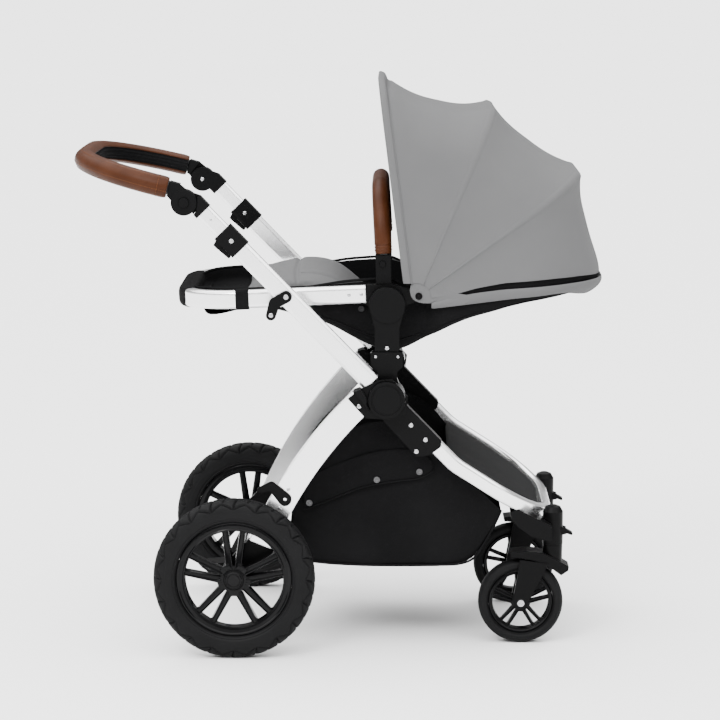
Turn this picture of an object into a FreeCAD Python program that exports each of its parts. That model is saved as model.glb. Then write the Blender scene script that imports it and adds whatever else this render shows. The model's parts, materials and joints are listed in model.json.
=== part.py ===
import FreeCAD, Part
import math
import os
import Sketcher

# Baby stroller: X points to the front wheels, Z up, the right-hand side is at -Y.
# Millimetres. Heights count from the floor and lengths from the main fold pivot, which
# stands pivot_x in front of the middle of the stroller's overall length.

V = FreeCAD.Vector
os.makedirs("parts", exist_ok=True)
doc = FreeCAD.newDocument("stroller")

SIZES = {
    # fold pivot and the two planes that the frame tubes lie in
    "pivot_x": 91.5, "pivot_z": 464.5, "inner_plane": 212, "outer_plane": 237,
    "tube_depth": 20, "tube_wall": 1.8, "snug": 0.2, "run_fit": 0.05, "play": 0.5,
    # main hinge
    "disc_radius": 33, "disc_proud": 10, "bolt_radius": 6, "casting_depth": 26,
    # handle
    "handle_angle": 45.9, "lower_width": 33, "lower_start": 40, "lower_end": 405,
    "clamp_start": 372, "clamp_end": 418, "clamp_wall": 2.6, "upper_start": 320, "upper_end": 476,
    "tilt_along": 502, "tilt_drop": 13, "tilt_radius": 23, "tilt_split": 237,
    "grip_slope": 13.5, "grip_diameter": 39, "bar_diameter": 24, "bar_rise": 18.2,
    "bar_start": 33, "bar_reach": 201, "bar_corner": 165, "button_radius": 9, "button_travel": 3,
    # front frame
    "front_height": 27, "front_slope": 32.5, "bend_x": 122, "bend_z": 340, "side_end_x": 235,
    "front_x": 290, "front_half": 120, "side_bend": 110, "nose_bend": 150, "panel_thickness": 4,
    "swivel_x": 303.3, "swivel_y": 157, "housing_low": 184.3, "housing_high": 256,
    "housing_radius": 18.5, "stem_radius": 6,
    # front wheels
    "trail": 58.2, "front_radius": 77.5, "front_width": 34, "front_bead": 59, "front_opening": 51,
    "front_axle": 4,
    # rear frame
    "leg_bend": 790, "leg_width": 46, "leg_centre_x": 503.1, "leg_centre_z": -107.4,
    "leg_from": 133.9, "leg_sweep": 23.3,
    "axle_x": -272.2, "axle_radius": 8, "spindle_radius": 5, "rear_radius": 145, "rear_width": 44,
    "rear_track": 550, "rear_bead": 104, "rear_opening": 88,
    # basket
    "basket_half": 190, "basket_wall": 3,
    # seat
    "hub_x": 0.5, "hub_z": 630.5, "hub_radius": 32, "arm_width": 44, "rail_plane": 188,
    "rail_height": 33, "rail_depth": 22, "rail_length": 370, "rail_rise": 15, "rail_slope": 2.5,
    "rail_corner": 110, "shell_half": 176.6, "shell_wall": 3, "head_half": 206, "head_x": 372,
    "head_corner": 140,
    # bumper bar
    "bumper_x": -6, "bumper_base": 719.5, "bumper_top": 833, "bumper_diameter": 31,
    "bumper_lean": 3.3, "plug_width": 13, "plug_length": 30, "bumper_corner": 98,
    # canopy
    "canopy_x": 57, "canopy_z": 646, "canopy_half": 215, "canopy_top_half": 200,
    "canopy_corner": 105, "tail_corner": 165, "fabric": 3, "front_reach": 385,
    "middle_reach": 355, "rear_reach": 360, "tail_reach": 338, "front_bow": 100.3,
    "bow_step": 32.3, "sag": 0.9, "mouth_shift": 25.4, "mouth_angle": 97.3,
    "bow_width": 9, "bow_thick": 2.4, "bow_gap": 4,
}

sheet = doc.addObject("Spreadsheet::Sheet", "Sizes")
for row, (alias, value) in enumerate(SIZES.items(), start=1):
    sheet.set(f"A{row}", alias)
    sheet.set(f"B{row}", str(value))
    sheet.setAlias(f"B{row}", alias)
doc.recompute()

nodes = {}
probe = doc.addObject("Part::Cylinder", "expression_probe")


def size(alias):
    return float(sheet.get(alias))


def value_of(expression):
    """Value of a number or of an expression over the sheet's aliases.

    A helper cylinder's radius works the expression out, held above zero by the 5000."""
    if not isinstance(expression, str):
        return float(expression)
    probe.setExpression("Radius", f"({expression}) + 5000")
    probe.recompute()
    return float(probe.Radius) - 5000


def bind(obj, prop, expression):
    """Bind one property to a number or an expression."""
    if isinstance(expression, str):
        obj.setExpression(prop, expression)
    else:
        setattr(obj, prop, expression)


PIVOT_LINE = "placement(vector(Sizes.pivot_x; 0; 0); rotation(vector(0;1;0); 0))"
HANDLE = ("placement(vector(Sizes.pivot_x; 0; Sizes.pivot_z);"
          " rotation(vector(0;1;0); Sizes.handle_angle - 90))")
TILT_AXIS = (HANDLE + " * placement(vector(-Sizes.tilt_drop; 0; Sizes.tilt_along);"
             " rotation(vector(0;1;0); Sizes.grip_slope + 90 - Sizes.handle_angle))")
SEAT = ("placement(vector(Sizes.pivot_x + Sizes.hub_x; 0; Sizes.hub_z);"
        " rotation(vector(0;1;0); 0))")


def new_body(name, frame=PIVOT_LINE):
    body = doc.addObject("PartDesign::Body", name)
    body.setExpression("Placement", frame)
    return body


def new_sketch(body, role, offset):
    """Sketch on one of the body's own origin planes, moved along the plane's normal."""
    sketch = body.newObject("Sketcher::SketchObject", body.Name + "_sketch")
    plane = [item for item in body.Origin.OriginFeatures if item.Role == role][0]
    sketch.AttachmentSupport = [(plane, "")]
    sketch.MapMode = "FlatFace"
    if isinstance(offset, str):
        sketch.setExpression("AttachmentOffset.Base.z", offset)
    else:
        sketch.AttachmentOffset = FreeCAD.Placement(V(0, 0, offset), FreeCAD.Rotation())
    return sketch


def fix_point(sketch, geometry, end, point):
    """Pin one end of a sketch element to coordinates given as numbers or expressions."""
    for kind, coordinate in zip(("DistanceX", "DistanceY"), point):
        constraint = Sketcher.Constraint(kind, -1, 1, geometry, end, value_of(coordinate))
        number = sketch.addConstraint(constraint)
        if isinstance(coordinate, str):
            sketch.setExpression(f"Constraints[{number}]", coordinate)


def add_polygon(sketch, points):
    places = [V(value_of(x), value_of(z), 0) for x, z in points]
    first = sketch.GeometryCount
    count = len(places)
    for i in range(count):
        sketch.addGeometry(Part.LineSegment(places[i], places[(i + 1) % count]))
    for i in range(count):
        sketch.addConstraint(
            Sketcher.Constraint("Coincident", first + i, 2, first + (i + 1) % count, 1))
        fix_point(sketch, first + i, 1, points[i])


def add_circle(sketch, centre, radius):
    place = V(value_of(centre[0]), value_of(centre[1]), 0)
    number = sketch.addGeometry(Part.Circle(place, V(0, 0, 1), value_of(radius)))
    fix_point(sketch, number, 3, centre)
    constraint = sketch.addConstraint(Sketcher.Constraint("Radius", number, value_of(radius)))
    if isinstance(radius, str):
        sketch.setExpression(f"Constraints[{constraint}]", radius)


def draw(body, shape, role, offset):
    """Sketch a polygon (list of points) or a circle ((x, z), radius)."""
    sketch = new_sketch(body, role, offset)
    if isinstance(shape, list):
        add_polygon(sketch, shape)
    else:
        add_circle(sketch, *shape)
    return sketch


def pad(body, shape, near, depth, role="XZ_Plane"):
    """Material from the plane at distance near, depth thick, away from the middle plane."""
    feature = body.newObject("PartDesign::Pad", body.Name + "_pad")
    feature.Profile = draw(body, shape, role, near)
    bind(feature, "Length", depth)
    doc.recompute()
    return feature


def pocket(body, shape, near, depth, role="XZ_Plane"):
    """Remove the same kind of prism that pad adds."""
    before = body.Shape.Volume
    feature = body.newObject("PartDesign::Pocket", body.Name + "_pocket")
    feature.Profile = draw(body, shape, role, near)
    feature.Reversed = True
    bind(feature, "Length", depth)
    doc.recompute()
    if not body.Shape.Volume < before - 0.01:
        raise RuntimeError(f"a pocket in {body.Name} removes nothing")
    return feature


def revolve(body, points):
    """Turn an outline (radius, height) about the body's own Z axis."""
    feature = body.newObject("PartDesign::Revolution", body.Name + "_turned")
    sketch = draw(body, points, "XZ_Plane", 0)
    feature.Profile = sketch
    feature.ReferenceAxis = (sketch, ["V_Axis"])
    feature.Angle = 360
    doc.recompute()
    return feature


def round_edges(body, radius, wanted):
    """Fillet the edges for which wanted(edge) is true."""
    base = body.Tip
    names = [f"Edge{i + 1}" for i, edge in enumerate(base.Shape.Edges) if wanted(edge)]
    if not names:
        raise RuntimeError(f"no edge to round in {body.Name}")
    feature = body.newObject("PartDesign::Fillet", body.Name + "_round")
    feature.Base = (base, names)
    bind(feature, "Radius", radius)
    doc.recompute()
    return feature


def along_y(edge):
    """True for a straight edge across the stroller."""
    if len(edge.Vertexes) != 2 or not isinstance(edge.Curve, Part.Line):
        return False
    a, b = edge.Vertexes[0].Point, edge.Vertexes[1].Point
    return abs(a.x - b.x) + abs(a.z - b.z) < 0.01


def mirrored(obj, name):
    other = doc.addObject("Part::Mirroring", name)
    other.Source = obj
    other.Normal = V(0, 1, 0)
    other.Base = V(0, 0, 0)
    return other


def keep(obj, node):
    obj.Label = node
    nodes[node] = obj
    return obj


def keep_pair(obj, node):
    """Right and left copies as two solids of one node."""
    obj.Label = node + " right half"
    both = doc.addObject("Part::Compound", node + "_pair")
    both.Links = [obj, mirrored(obj, node + "_left_half")]
    return keep(both, node)


def keep_sides(obj, node):
    """Right and left copies as two nodes, because each moves by itself."""
    keep(obj, node + "_right")
    keep(mirrored(obj, node + "_left_copy"), node + "_left")


def shaped(name, shape, frame):
    """A sub-part whose shape is made here from the sheet's sizes."""
    obj = doc.addObject("Part::Feature", name)
    obj.Shape = shape
    obj.setExpression("Placement", frame)
    return obj


def rounded_path(points, radii, closed=False):
    """Straight runs joined by tangent arcs, one radius for each inner corner."""
    corners = [V(*p) for p in points]
    edges = []
    start = corners[0]
    for i, radius in enumerate(radii, start=1):
        here = corners[i]
        back = (corners[i - 1] - here).normalize()
        on = (corners[i + 1] - here).normalize()
        half = back.getAngle(on) / 2
        cut = radius / math.tan(half)
        middle = here + (back + on).normalize() * (radius / math.sin(half) - radius)
        edges.append(Part.makeLine(start, here + back * cut))
        edges.append(Part.Arc(here + back * cut, middle, here + on * cut).toShape())
        start = here + on * cut
    edges.append(Part.makeLine(start, corners[-1]))
    return Part.Wire(edges)


def section(start, direction, up, width, height, corner):
    """Rounded rectangle square to direction: width sideways, height along up."""
    z = direction.normalize()
    y = (up - z * up.dot(z)).normalize()
    x = y.cross(z)
    half_w, half_h = width / 2, height / 2
    edges = []
    turns = [(1, 1), (-1, 1), (-1, -1), (1, -1)]
    for sx, sy in turns:
        cx, cy = sx * (half_w - corner), sy * (half_h - corner)
        first = math.atan2(sy, sx) - math.pi / 4
        ends = [start + x * (cx + corner * math.cos(first + k * math.pi / 4))
                + y * (cy + corner * math.sin(first + k * math.pi / 4)) for k in (0, 1, 2)]
        edges.append((ends[0], Part.Arc(*ends).toShape(), ends[2]))
    wire = []
    for i, (_, arc, end) in enumerate(edges):
        wire.append(arc)
        wire.append(Part.makeLine(end, edges[(i + 1) % 4][0]))
    return Part.Wire(Part.sortEdges(wire)[0])


def swept(path, profile, up):
    pipe = Part.BRepOffsetAPI.MakePipeShell(path)
    pipe.setBiNormalMode(up)
    pipe.setTransitionMode(1)
    pipe.add(profile)
    pipe.build()
    pipe.makeSolid()
    solid = pipe.shape()
    return solid if solid.Volume > 0 else solid.reversed()


def bar(path, width, height, corner, up):
    """Solid bar of rounded-rectangle section along a path."""
    start = path.OrderedVertexes[0].Point
    direction = path.OrderedEdges[0].tangentAt(path.OrderedEdges[0].FirstParameter)
    if (path.OrderedEdges[0].valueAt(path.OrderedEdges[0].FirstParameter) - start).Length > 1e-6:
        direction = direction * -1
    return swept(path, section(start, direction, up, width, height, corner), up)


def round_bar(path, diameter, up):
    start = path.OrderedVertexes[0].Point
    direction = path.OrderedEdges[0].tangentAt(path.OrderedEdges[0].FirstParameter)
    circle = Part.makeCircle(diameter / 2, start, direction)
    return swept(path, Part.Wire(circle), up)


def cylinder_y(x, z, near, depth, radius):
    """Cylinder along Y on the right-hand side, from distance near outwards."""
    return Part.makeCylinder(radius, depth, V(x, -near, z), V(0, -1, 0))


def screw_head(x, z, face, radius=4.2, height=1.6):
    """Domed screw head seated on a face at distance face from the middle plane."""
    head = cylinder_y(x, z, face, height, radius)
    rim = [e for e in head.Edges if isinstance(e.Curve, Part.Circle)
           and abs(e.CenterOfMass.y + face + height) < 0.01]
    head = head.makeFillet(height * 0.8, rim)
    slot = Part.makeBox(2 * radius, 0.8, 0.9, V(x - radius, -face - height, z - 0.45))
    return head.cut(slot)


def both_sides(solids):
    flipped = [s.mirror(V(0, 0, 0), V(0, 1, 0)) for s in solids]
    return Part.makeCompound(list(solids) + flipped)


def link_outline(first, second, count=9):
    """Polygon round two circles ((x, z), radius) joined by their outer tangents."""
    (x1, z1), r1 = first
    (x2, z2), r2 = second
    heading = math.atan2(z2 - z1, x2 - x1)
    reach = math.hypot(x2 - x1, z2 - z1)
    lean = math.acos((r1 - r2) / reach)
    points = []
    for (cx, cz), r, a, b in (((x1, z1), r1, heading + lean, heading + 2 * math.pi - lean),
                              ((x2, z2), r2, heading - lean, heading + lean)):
        for k in range(count):
            angle = a + (b - a) * k / (count - 1)
            points.append((cx + r * math.cos(angle), cz + r * math.sin(angle)))
    return points


# ---------------------------------------------------------------- front frame

def front_frame_path():
    """Right-hand tube from its top end to the middle of the nose."""
    slope = math.tan(math.radians(size("front_slope")))
    plane = size("inner_plane")
    low = [(size("bend_x"), size("bend_z"))]
    for x in (size("side_end_x"), size("front_x")):
        low.append((x, size("bend_z") - (x - size("bend_x")) * slope))
    top = (66, size("bend_z") + (size("bend_x") - 66) * 1.02)
    half = size("front_half")
    right = [(top, plane), (low[0], plane), (low[1], plane), (low[2], half), (low[2], 0)]
    points = [(x, -y, z) for (x, z), y in right]
    return rounded_path(points, [110, size("side_bend"), size("nose_bend")])


def front_normal():
    slope = math.radians(size("front_slope"))
    return V(math.sin(slope), 0, math.cos(slope))


def front_tube(growth):
    """Right-hand half of the front tube, larger all round by growth."""
    height, depth = size("front_height") + 2 * growth, size("tube_depth") + 2 * growth
    return bar(front_frame_path(), depth, height, 6 + min(growth, 0), front_normal())


def front_leg_frame():
    half = front_tube(0).cut(front_tube(-size("tube_wall")))
    whole = half.fuse(half.mirror(V(0, 0, 0), V(0, 1, 0))).removeSplitter()
    keep(shaped("front_frame", whole.Solids[0], PIVOT_LINE), "front_leg_frame")


def footwell_panel():
    """Flat plate that fills the nose of the front frame between its tubes."""
    slope = math.tan(math.radians(size("front_slope")))
    inset = size("tube_depth") / 2 + size("snug")
    far = size("front_x") - inset - 2
    turn = size("side_end_x") - inset / 2
    half = size("inner_plane") - inset
    start = size("bend_x") - 4
    flat = [(start, -half), (turn, -half), (far, -size("front_half") + 4),
            (far, size("front_half") - 4), (turn, half), (start, half)]
    under = size("panel_thickness") / 2 / math.cos(math.radians(size("front_slope")))
    points = [(x, y, size("bend_z") - (x - size("bend_x")) * slope - under) for x, y in flat]
    bends = [size("side_bend") - inset, size("nose_bend") - inset]
    rim = rounded_path(points, bends + bends[::-1])
    back_edge = Part.makeLine(V(*points[-1]), V(*points[0]))
    face = Part.Face(Part.Wire(rim.Edges + [back_edge]))
    plate = face.extrude(front_normal() * size("panel_thickness"))
    keep(shaped("footwell_plate", plate, PIVOT_LINE), "footwell_panel")


def hinge_castings():
    """Casting that carries the pivot bolt, the front tube and the seat adaptor."""
    near = "Sizes.inner_plane - Sizes.casting_depth / 2 - 0.5"
    body = new_body("hinge_casting")
    pad(body, [(-17, 497.5), (19, 497.5), (34, 452), (99, 385), (97, 374), (76, 359), (54, 356),
               (-8, 424), (-30, 450)], near, "Sizes.casting_depth - 1")
    round_edges(body, 5, lambda e: along_y(e) and e.CenterOfMass.z < 400)
    pad(body, ((0, "Sizes.pivot_z"), "Sizes.disc_radius"), near, "Sizes.casting_depth - 1")
    pocket(body, ((0, "Sizes.pivot_z"), "Sizes.bolt_radius"), 190, 45)
    socket = shaped("front_tube_socket", front_tube(size("snug")), PIVOT_LINE)
    keep_pair(cut_of("hinge_casting_bored", body, socket), "hinge_castings")


def pivot_bolts():
    body = new_body("pivot_bolt")
    pivot = (0, "Sizes.pivot_z")
    start = "Sizes.inner_plane - Sizes.casting_depth / 2 - 4.5"
    pad(body, (pivot, 10), start, 4)
    pad(body, (pivot, "Sizes.bolt_radius"), start,
        "Sizes.outer_plane - Sizes.inner_plane + Sizes.casting_depth + 6")
    keep_pair(body, "pivot_bolts")


def seat_adaptors():
    """Socket on top of each hinge casting that the seat's arm drops into."""
    near = "Sizes.inner_plane - 12"
    body = new_body("seat_adaptor")
    pad(body, [(-17, 497.7), (19, 497.7), (19, 511), (29, 520), (29, 546), (-29, 546), (-29, 520),
               (-17, 511)], near, 24)
    left = "Sizes.hub_x - Sizes.arm_width / 2 + 8 - Sizes.play"
    right = "Sizes.hub_x + Sizes.arm_width / 2 - 8 + Sizes.play"
    pocket(body, [(left, "522 - Sizes.play"), (right, "522 - Sizes.play"), (right, 550), (left, 550)],
           "Sizes.inner_plane - 6 - Sizes.play", "12 + 2 * Sizes.play")
    round_edges(body, 3, lambda e: along_y(e) and abs(e.CenterOfMass.x - size("pivot_x")) > 28)
    keep_pair(body, "seat_adaptors")


def caster_brackets():
    """Wing that joins the front tube to the swivel housing."""
    body = new_body("caster_bracket")
    pad(body, [(224, 250), (236, 257), (300, 224), (300, 196), (262, 206), (240, 222),
               (226, 236)], 141, 62)
    round_edges(body, 4, lambda e: along_y(e) and e.CenterOfMass.x < size("pivot_x") + 270)
    post = doc.addObject("Part::Cylinder", "housing_clearance")
    post.setExpression("Radius", "Sizes.housing_radius + 0.1")
    post.Height = 200
    post.setExpression("Placement", "placement(vector(Sizes.pivot_x + Sizes.swivel_x;"
                       " -Sizes.swivel_y; 120); rotation(vector(0;0;1); 0))")
    beyond = doc.addObject("Part::Box", "beyond_housing")
    beyond.Length, beyond.Width, beyond.Height = 40, 80, 100
    beyond.setExpression("Placement", "placement(vector(Sizes.pivot_x + Sizes.swivel_x;"
                         " -Sizes.swivel_y - 60; 150); rotation(vector(0;0;1); 0))")
    tube_space = shaped("bracket_tube_space", front_tube(size("snug")), PIVOT_LINE)
    taken = doc.addObject("Part::MultiFuse", "bracket_clearance")
    taken.Shapes = [post, beyond, tube_space]
    cut = cut_of("caster_bracket_fitted", body, taken)
    doc.recompute()
    biggest = max(cut.Shape.Solids, key=lambda s: s.Volume)
    solid = doc.addObject("Part::Feature", "caster_bracket_solid")
    solid.Shape = biggest
    keep_pair(solid, "caster_brackets")


def swivel_frame(z):
    return (f"placement(vector(Sizes.pivot_x + Sizes.swivel_x; -Sizes.swivel_y; {z});"
            " rotation(vector(0;0;1); 0))")


def swivel_housings():
    body = new_body("swivel_housing", swivel_frame("Sizes.housing_low"))
    top = "Sizes.housing_high - Sizes.housing_low"
    revolve(body, [("Sizes.stem_radius + Sizes.run_fit", 0), ("Sizes.housing_radius", 0),
                   ("Sizes.housing_radius", f"{top} - 12"), ("Sizes.housing_radius - 5", f"{top} - 3"),
                   ("Sizes.housing_radius - 12", top), (0, top), (0, f"{top} - 12"),
                   ("Sizes.stem_radius + Sizes.run_fit", f"{top} - 12")])
    for near in (-11, 8.5):
        pad(body, [("Sizes.housing_radius - 6", 17), ("Sizes.housing_radius + 6", 19),
                   ("Sizes.housing_radius + 6", 29), ("Sizes.housing_radius - 6", 34)], near, 2.5)
    keep_pair(body, "swivel_housings")


def swivel_locks():
    """Tab between two ears on the front of the swivel housing."""
    lever = new_body("swivel_lock", swivel_frame("Sizes.housing_low"))
    outline = link_outline(((size("housing_radius") + 4.2, 24), 3.4),
                           ((size("housing_radius") + 15, 19), 2.4))
    anchored = [(f"Sizes.housing_radius + {x - size('housing_radius'):.4f}", z) for x, z in outline]
    pad(lever, anchored, -8, 16)
    keep_sides(lever, "swivel_lock")


def chassis_screws():
    face = size("inner_plane") + size("casting_depth") / 2 - 1.5
    places = [(43.7, 414), (69.6, 387.5), (53.4, 366)]
    heads = [screw_head(x, z, face) for x, z in places]
    heads += [screw_head(x, 538, size("inner_plane") + 12, 2.6, 1.2) for x in (-20, 20)]
    keep(shaped("silver_screws", both_sides(heads), PIVOT_LINE), "chassis_screws")


def basket():
    """Fabric tub under the seat, open at the top behind the hinge."""
    body = new_body("basket")
    half = "Sizes.basket_half"
    wall = size("basket_wall")
    outer = [(-176, 161), (-60, 147), (124, 150), (166, 176), (208, 248), (112, 318), (30, 400),
             (-12, 418), (-40, 410), (-100, 345), (-140, 282)]
    pad(body, outer, f"-{half}", f"2 * {half}")
    inner = [(-172, 161 + wall), (-60, 147 + wall), (122, 150 + wall), (163, 178), (203, 247),
             (111, 314), (28, 396), (-12, 430), (-60, 430), (-150, 330), (-190, 262)]
    pocket(body, inner, f"-{half} + Sizes.basket_wall", f"2 * ({half} - Sizes.basket_wall)")
    reach = "Sizes.inner_plane - Sizes.casting_depth / 2 - 0.7"
    for near in (f"{half} - 2", f"-({reach})"):
        pad(body, ((20, 399), 3.5), near, f"({reach}) - {half} + 2")
    keep(body, "basket_bag")


# ---------------------------------------------------------------- casters

def caster_forks():
    body = new_body("caster_fork", swivel_frame("Sizes.housing_low - Sizes.play"))
    revolve(body, [(0, -34), ("Sizes.housing_radius - 1", -34), ("Sizes.housing_radius - 0.5", 0),
                   ("Sizes.stem_radius", 0), ("Sizes.stem_radius", 54), (0, 54)])
    low = "Sizes.front_radius - Sizes.housing_low + Sizes.play"
    wing = [(-79, -14), (-48, -10), (-18, -14), (7, -26), (29, -39), (28, -46), (15, -55),
            (-3, -42), (-33, -28), (-62, -23), (-77, -22)]
    pad(body, wing, -22.5, 45)
    for near in (-25, 18.5):
        arm = [(-60, -26), (-9, -33), (-27, -72), ("-Sizes.trail + 15", f"{low} + 4"),
               ("-Sizes.trail + 10", f"{low} - 11"), ("-Sizes.trail", f"{low} - 15"),
               ("-Sizes.trail - 10", f"{low} - 11"), ("-Sizes.trail - 15", f"{low} + 4"),
               (-66, -64)]
        pad(body, arm, near, 6.5)
    pocket(body, (("-Sizes.trail", low), "Sizes.front_axle"), -30, 60)
    keep_sides(body, "caster_fork")


def wheel_frame(x, y, radius):
    """Local Z is the wheel's axis and points outwards on the right-hand side."""
    return (f"placement(vector(Sizes.pivot_x + {x}; -({y}); {radius});"
            " rotation(vector(1;0;0); 90))")


def front_axles():
    frame = wheel_frame("Sizes.swivel_x - Sizes.trail", "Sizes.swivel_y", "Sizes.front_radius")
    body = new_body("front_axle", frame)
    revolve(body, [(0, -28), (6.5, -28), (6.5, -25), ("Sizes.front_axle", -25),
                   ("Sizes.front_axle", 25), (7.5, 25), (6, 28.5), (0, 29)])
    pocket(body, [(-9, -1), (9, -1), (9, 1), (-9, 1)], 27.5, 3, "XY_Plane")
    keep_sides(body, "front_axle")


def tyre(name, frame, radius, width, bead):
    """Tyre of rounded section with a stepped shoulder and sidewall."""
    body = new_body(name, frame)
    half = f"Sizes.{width} / 2"
    r = f"Sizes.{radius}"
    b = f"Sizes.{bead}"
    revolve(body, [(b, f"-{half} * 0.66"), (f"{b} + 4", f"-{half} * 0.82"),
                   (f"{b} + ({r} - {b}) * 0.45", f"-{half}"), (f"{b} + ({r} - {b}) * 0.72", f"-{half} * 0.9"),
                   (f"{r} - 2.5", f"-{half} * 0.5"), (r, f"-{half} * 0.18"), (r, f"{half} * 0.18"),
                   (f"{r} - 2.5", f"{half} * 0.5"), (f"{b} + ({r} - {b}) * 0.72", f"{half} * 0.9"),
                   (f"{b} + ({r} - {b}) * 0.45", half), (f"{b} + 4", f"{half} * 0.82"),
                   (b, f"{half} * 0.66")])
    keep_sides(body, name)


def rim(name, frame, bead, opening, width, bore, hub, hub_half):
    """Rim ring, hub and five pairs of spokes."""
    body = new_body(name, frame)
    half = f"Sizes.{width} / 2 * 0.66"
    b = f"Sizes.{bead}"
    revolve(body, [(f"Sizes.{opening}", f"-{half}"), (b, f"-{half}"), (b, half),
                   (f"{b} - 3", f"{half} + 1"), (f"Sizes.{opening} + 3", f"{half} + 1"),
                   (f"Sizes.{opening}", half)])
    feature = body.newObject("PartDesign::Pad", name + "_spoke")
    out = size(opening) + 2
    lean = 0.19
    sketch = new_sketch(body, "XY_Plane", -hub_half * 0.3)
    for side in (1, -1):
        points = [(side * 3.0, hub * 0.5), (side * 7.0, hub * 0.6), (side * (out * lean + 5), out),
                  (side * out * lean, out)]
        anchored = [(x, z if z < out else f"Sizes.{opening} + 2") for x, z in points]
        add_polygon(sketch, anchored)
    feature.Profile = sketch
    feature.Length = hub_half * 0.9
    doc.recompute()
    pattern = body.newObject("PartDesign::PolarPattern", name + "_spokes")
    pattern.Originals = [feature]
    pattern.Axis = (sketch, ["N_Axis"])
    pattern.Angle = 360
    pattern.Occurrences = 5
    body.Tip = pattern
    doc.recompute()
    pad(body, ((0, 0), hub), -hub_half, 2 * hub_half, "XY_Plane")
    pocket(body, ((0, 0), f"Sizes.{bore} + Sizes.run_fit"), -60, 120, "XY_Plane")
    keep_sides(body, name)


def front_wheels():
    frame = wheel_frame("Sizes.swivel_x - Sizes.trail", "Sizes.swivel_y", "Sizes.front_radius")
    tyre("front_tyre", frame, "front_radius", "front_width", "front_bead")
    rim("front_rim", frame, "front_bead", "front_opening", "front_width", "front_axle", 15, 17.5)


def rear_wheels():
    frame = wheel_frame("Sizes.axle_x", "Sizes.rear_track / 2", "Sizes.rear_radius")
    tyre("rear_tyre", frame, "rear_radius", "rear_width", "rear_bead")
    rim("rear_rim", frame, "rear_bead", "rear_opening", "rear_width", "spindle_radius", 25, 20)


# ---------------------------------------------------------------- rear frame

def sector(name, radius, depth, near):
    """Part cylinder about the leg's centre of curvature, across the leg's plane."""
    part = doc.addObject("Part::Cylinder", name)
    bind(part, "Radius", radius)
    bind(part, "Height", depth)
    part.setExpression("Angle", "Sizes.leg_sweep")
    part.setExpression("Placement", "placement(vector(Sizes.pivot_x + Sizes.leg_centre_x;"
                       f" -({near}); Sizes.leg_centre_z); rotation(vector(1;0;0); 90)"
                       " * rotation(vector(0;0;1); Sizes.leg_from))")
    return part


def cut_of(name, base, tool):
    result = doc.addObject("Part::Cut", name)
    result.Base = base
    result.Tool = tool
    return result


def rear_legs():
    """Hollow curved extrusion in the outer plane."""
    depth = "Sizes.tube_depth"
    near = "Sizes.outer_plane - Sizes.tube_depth / 2"
    over = "Sizes.leg_bend + Sizes.leg_width / 2"
    under = "Sizes.leg_bend - Sizes.leg_width / 2"
    skin = cut_of("leg_bar", sector("leg_over", over, depth, near),
                  sector("leg_under", under, depth, near))
    thin = f"{depth} - 2 * Sizes.tube_wall"
    inside = f"{near} + Sizes.tube_wall"
    core = cut_of("leg_core", sector("core_over", f"{over} - Sizes.tube_wall", thin, inside),
                  sector("core_under", f"{under} + Sizes.tube_wall", thin, inside))
    keep_pair(cut_of("rear_leg", skin, core), "rear_legs")


def leg_point(angle, radius_shift=0.0):
    turn = math.radians(angle)
    reach = size("leg_bend") + radius_shift
    return (size("leg_centre_x") + reach * math.cos(turn),
            size("leg_centre_z") + reach * math.sin(turn))


def rear_wings():
    """Casting at the top of each rear leg, with the eye that turns on the pivot bolt."""
    body = new_body("rear_wing")
    eye = "Sizes.inner_plane + Sizes.casting_depth / 2 + 0.5"
    pivot = (0, "Sizes.pivot_z")
    full = "Sizes.outer_plane - Sizes.inner_plane + 12"
    pad(body, (pivot, "Sizes.disc_radius"), eye, 10)
    pad(body, [(-59.5, 480), (-48, 484), (-42, 480.5), (-20, 475), (-20, 445), (-29.8, 446.6)], eye, 10)
    pad(body, [(-59.5, 480), (-48, 484), (-42, 480.5), (-37, 472), (-35.5, 466), (-36, 458),
               (-31, 448), (-29.8, 446.6)], eye, full)
    inside = "Sizes.tube_wall + Sizes.snug"
    pad(body, [(-57, 477), (-30.5, 449.5), (-59.2, 422), (-85.6, 449.4)],
        f"Sizes.outer_plane - Sizes.tube_depth / 2 + {inside}", f"Sizes.tube_depth - 2 * ({inside})")
    pocket(body, (pivot, "Sizes.disc_radius + 1.2"), f"{eye} + 10", 20)
    pad(body, [(-69, 466), (-48, 483.6), (-12, 500), (10, 502), (38, 470), (34, 440), (10, 428),
               (-38, 431)], "Sizes.outer_plane + Sizes.tube_depth / 2 + 0.5", 3)
    pocket(body, (pivot, "Sizes.disc_radius + 0.6"), "Sizes.outer_plane + 9", 6)
    pocket(body, (pivot, "Sizes.bolt_radius + Sizes.run_fit"), 200, 40)
    keep_pair(body, "rear_wings")


def rear_axle():
    """Cross tube with a spindle for each wheel."""
    frame = wheel_frame("Sizes.axle_x", "0", "Sizes.rear_radius")
    body = new_body("rear_axle", frame)
    tube = "Sizes.outer_plane + Sizes.tube_depth / 2 + 2"
    end = "Sizes.rear_track / 2 + 20"
    revolve(body, [(0, f"-({end})"), ("Sizes.spindle_radius", f"-({end})"),
                   ("Sizes.spindle_radius", f"-({tube})"), ("Sizes.axle_radius", f"-({tube})"),
                   ("Sizes.axle_radius", tube), ("Sizes.spindle_radius", tube),
                   ("Sizes.spindle_radius", end), (0, end)])
    keep(body, "rear_axle")


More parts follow.
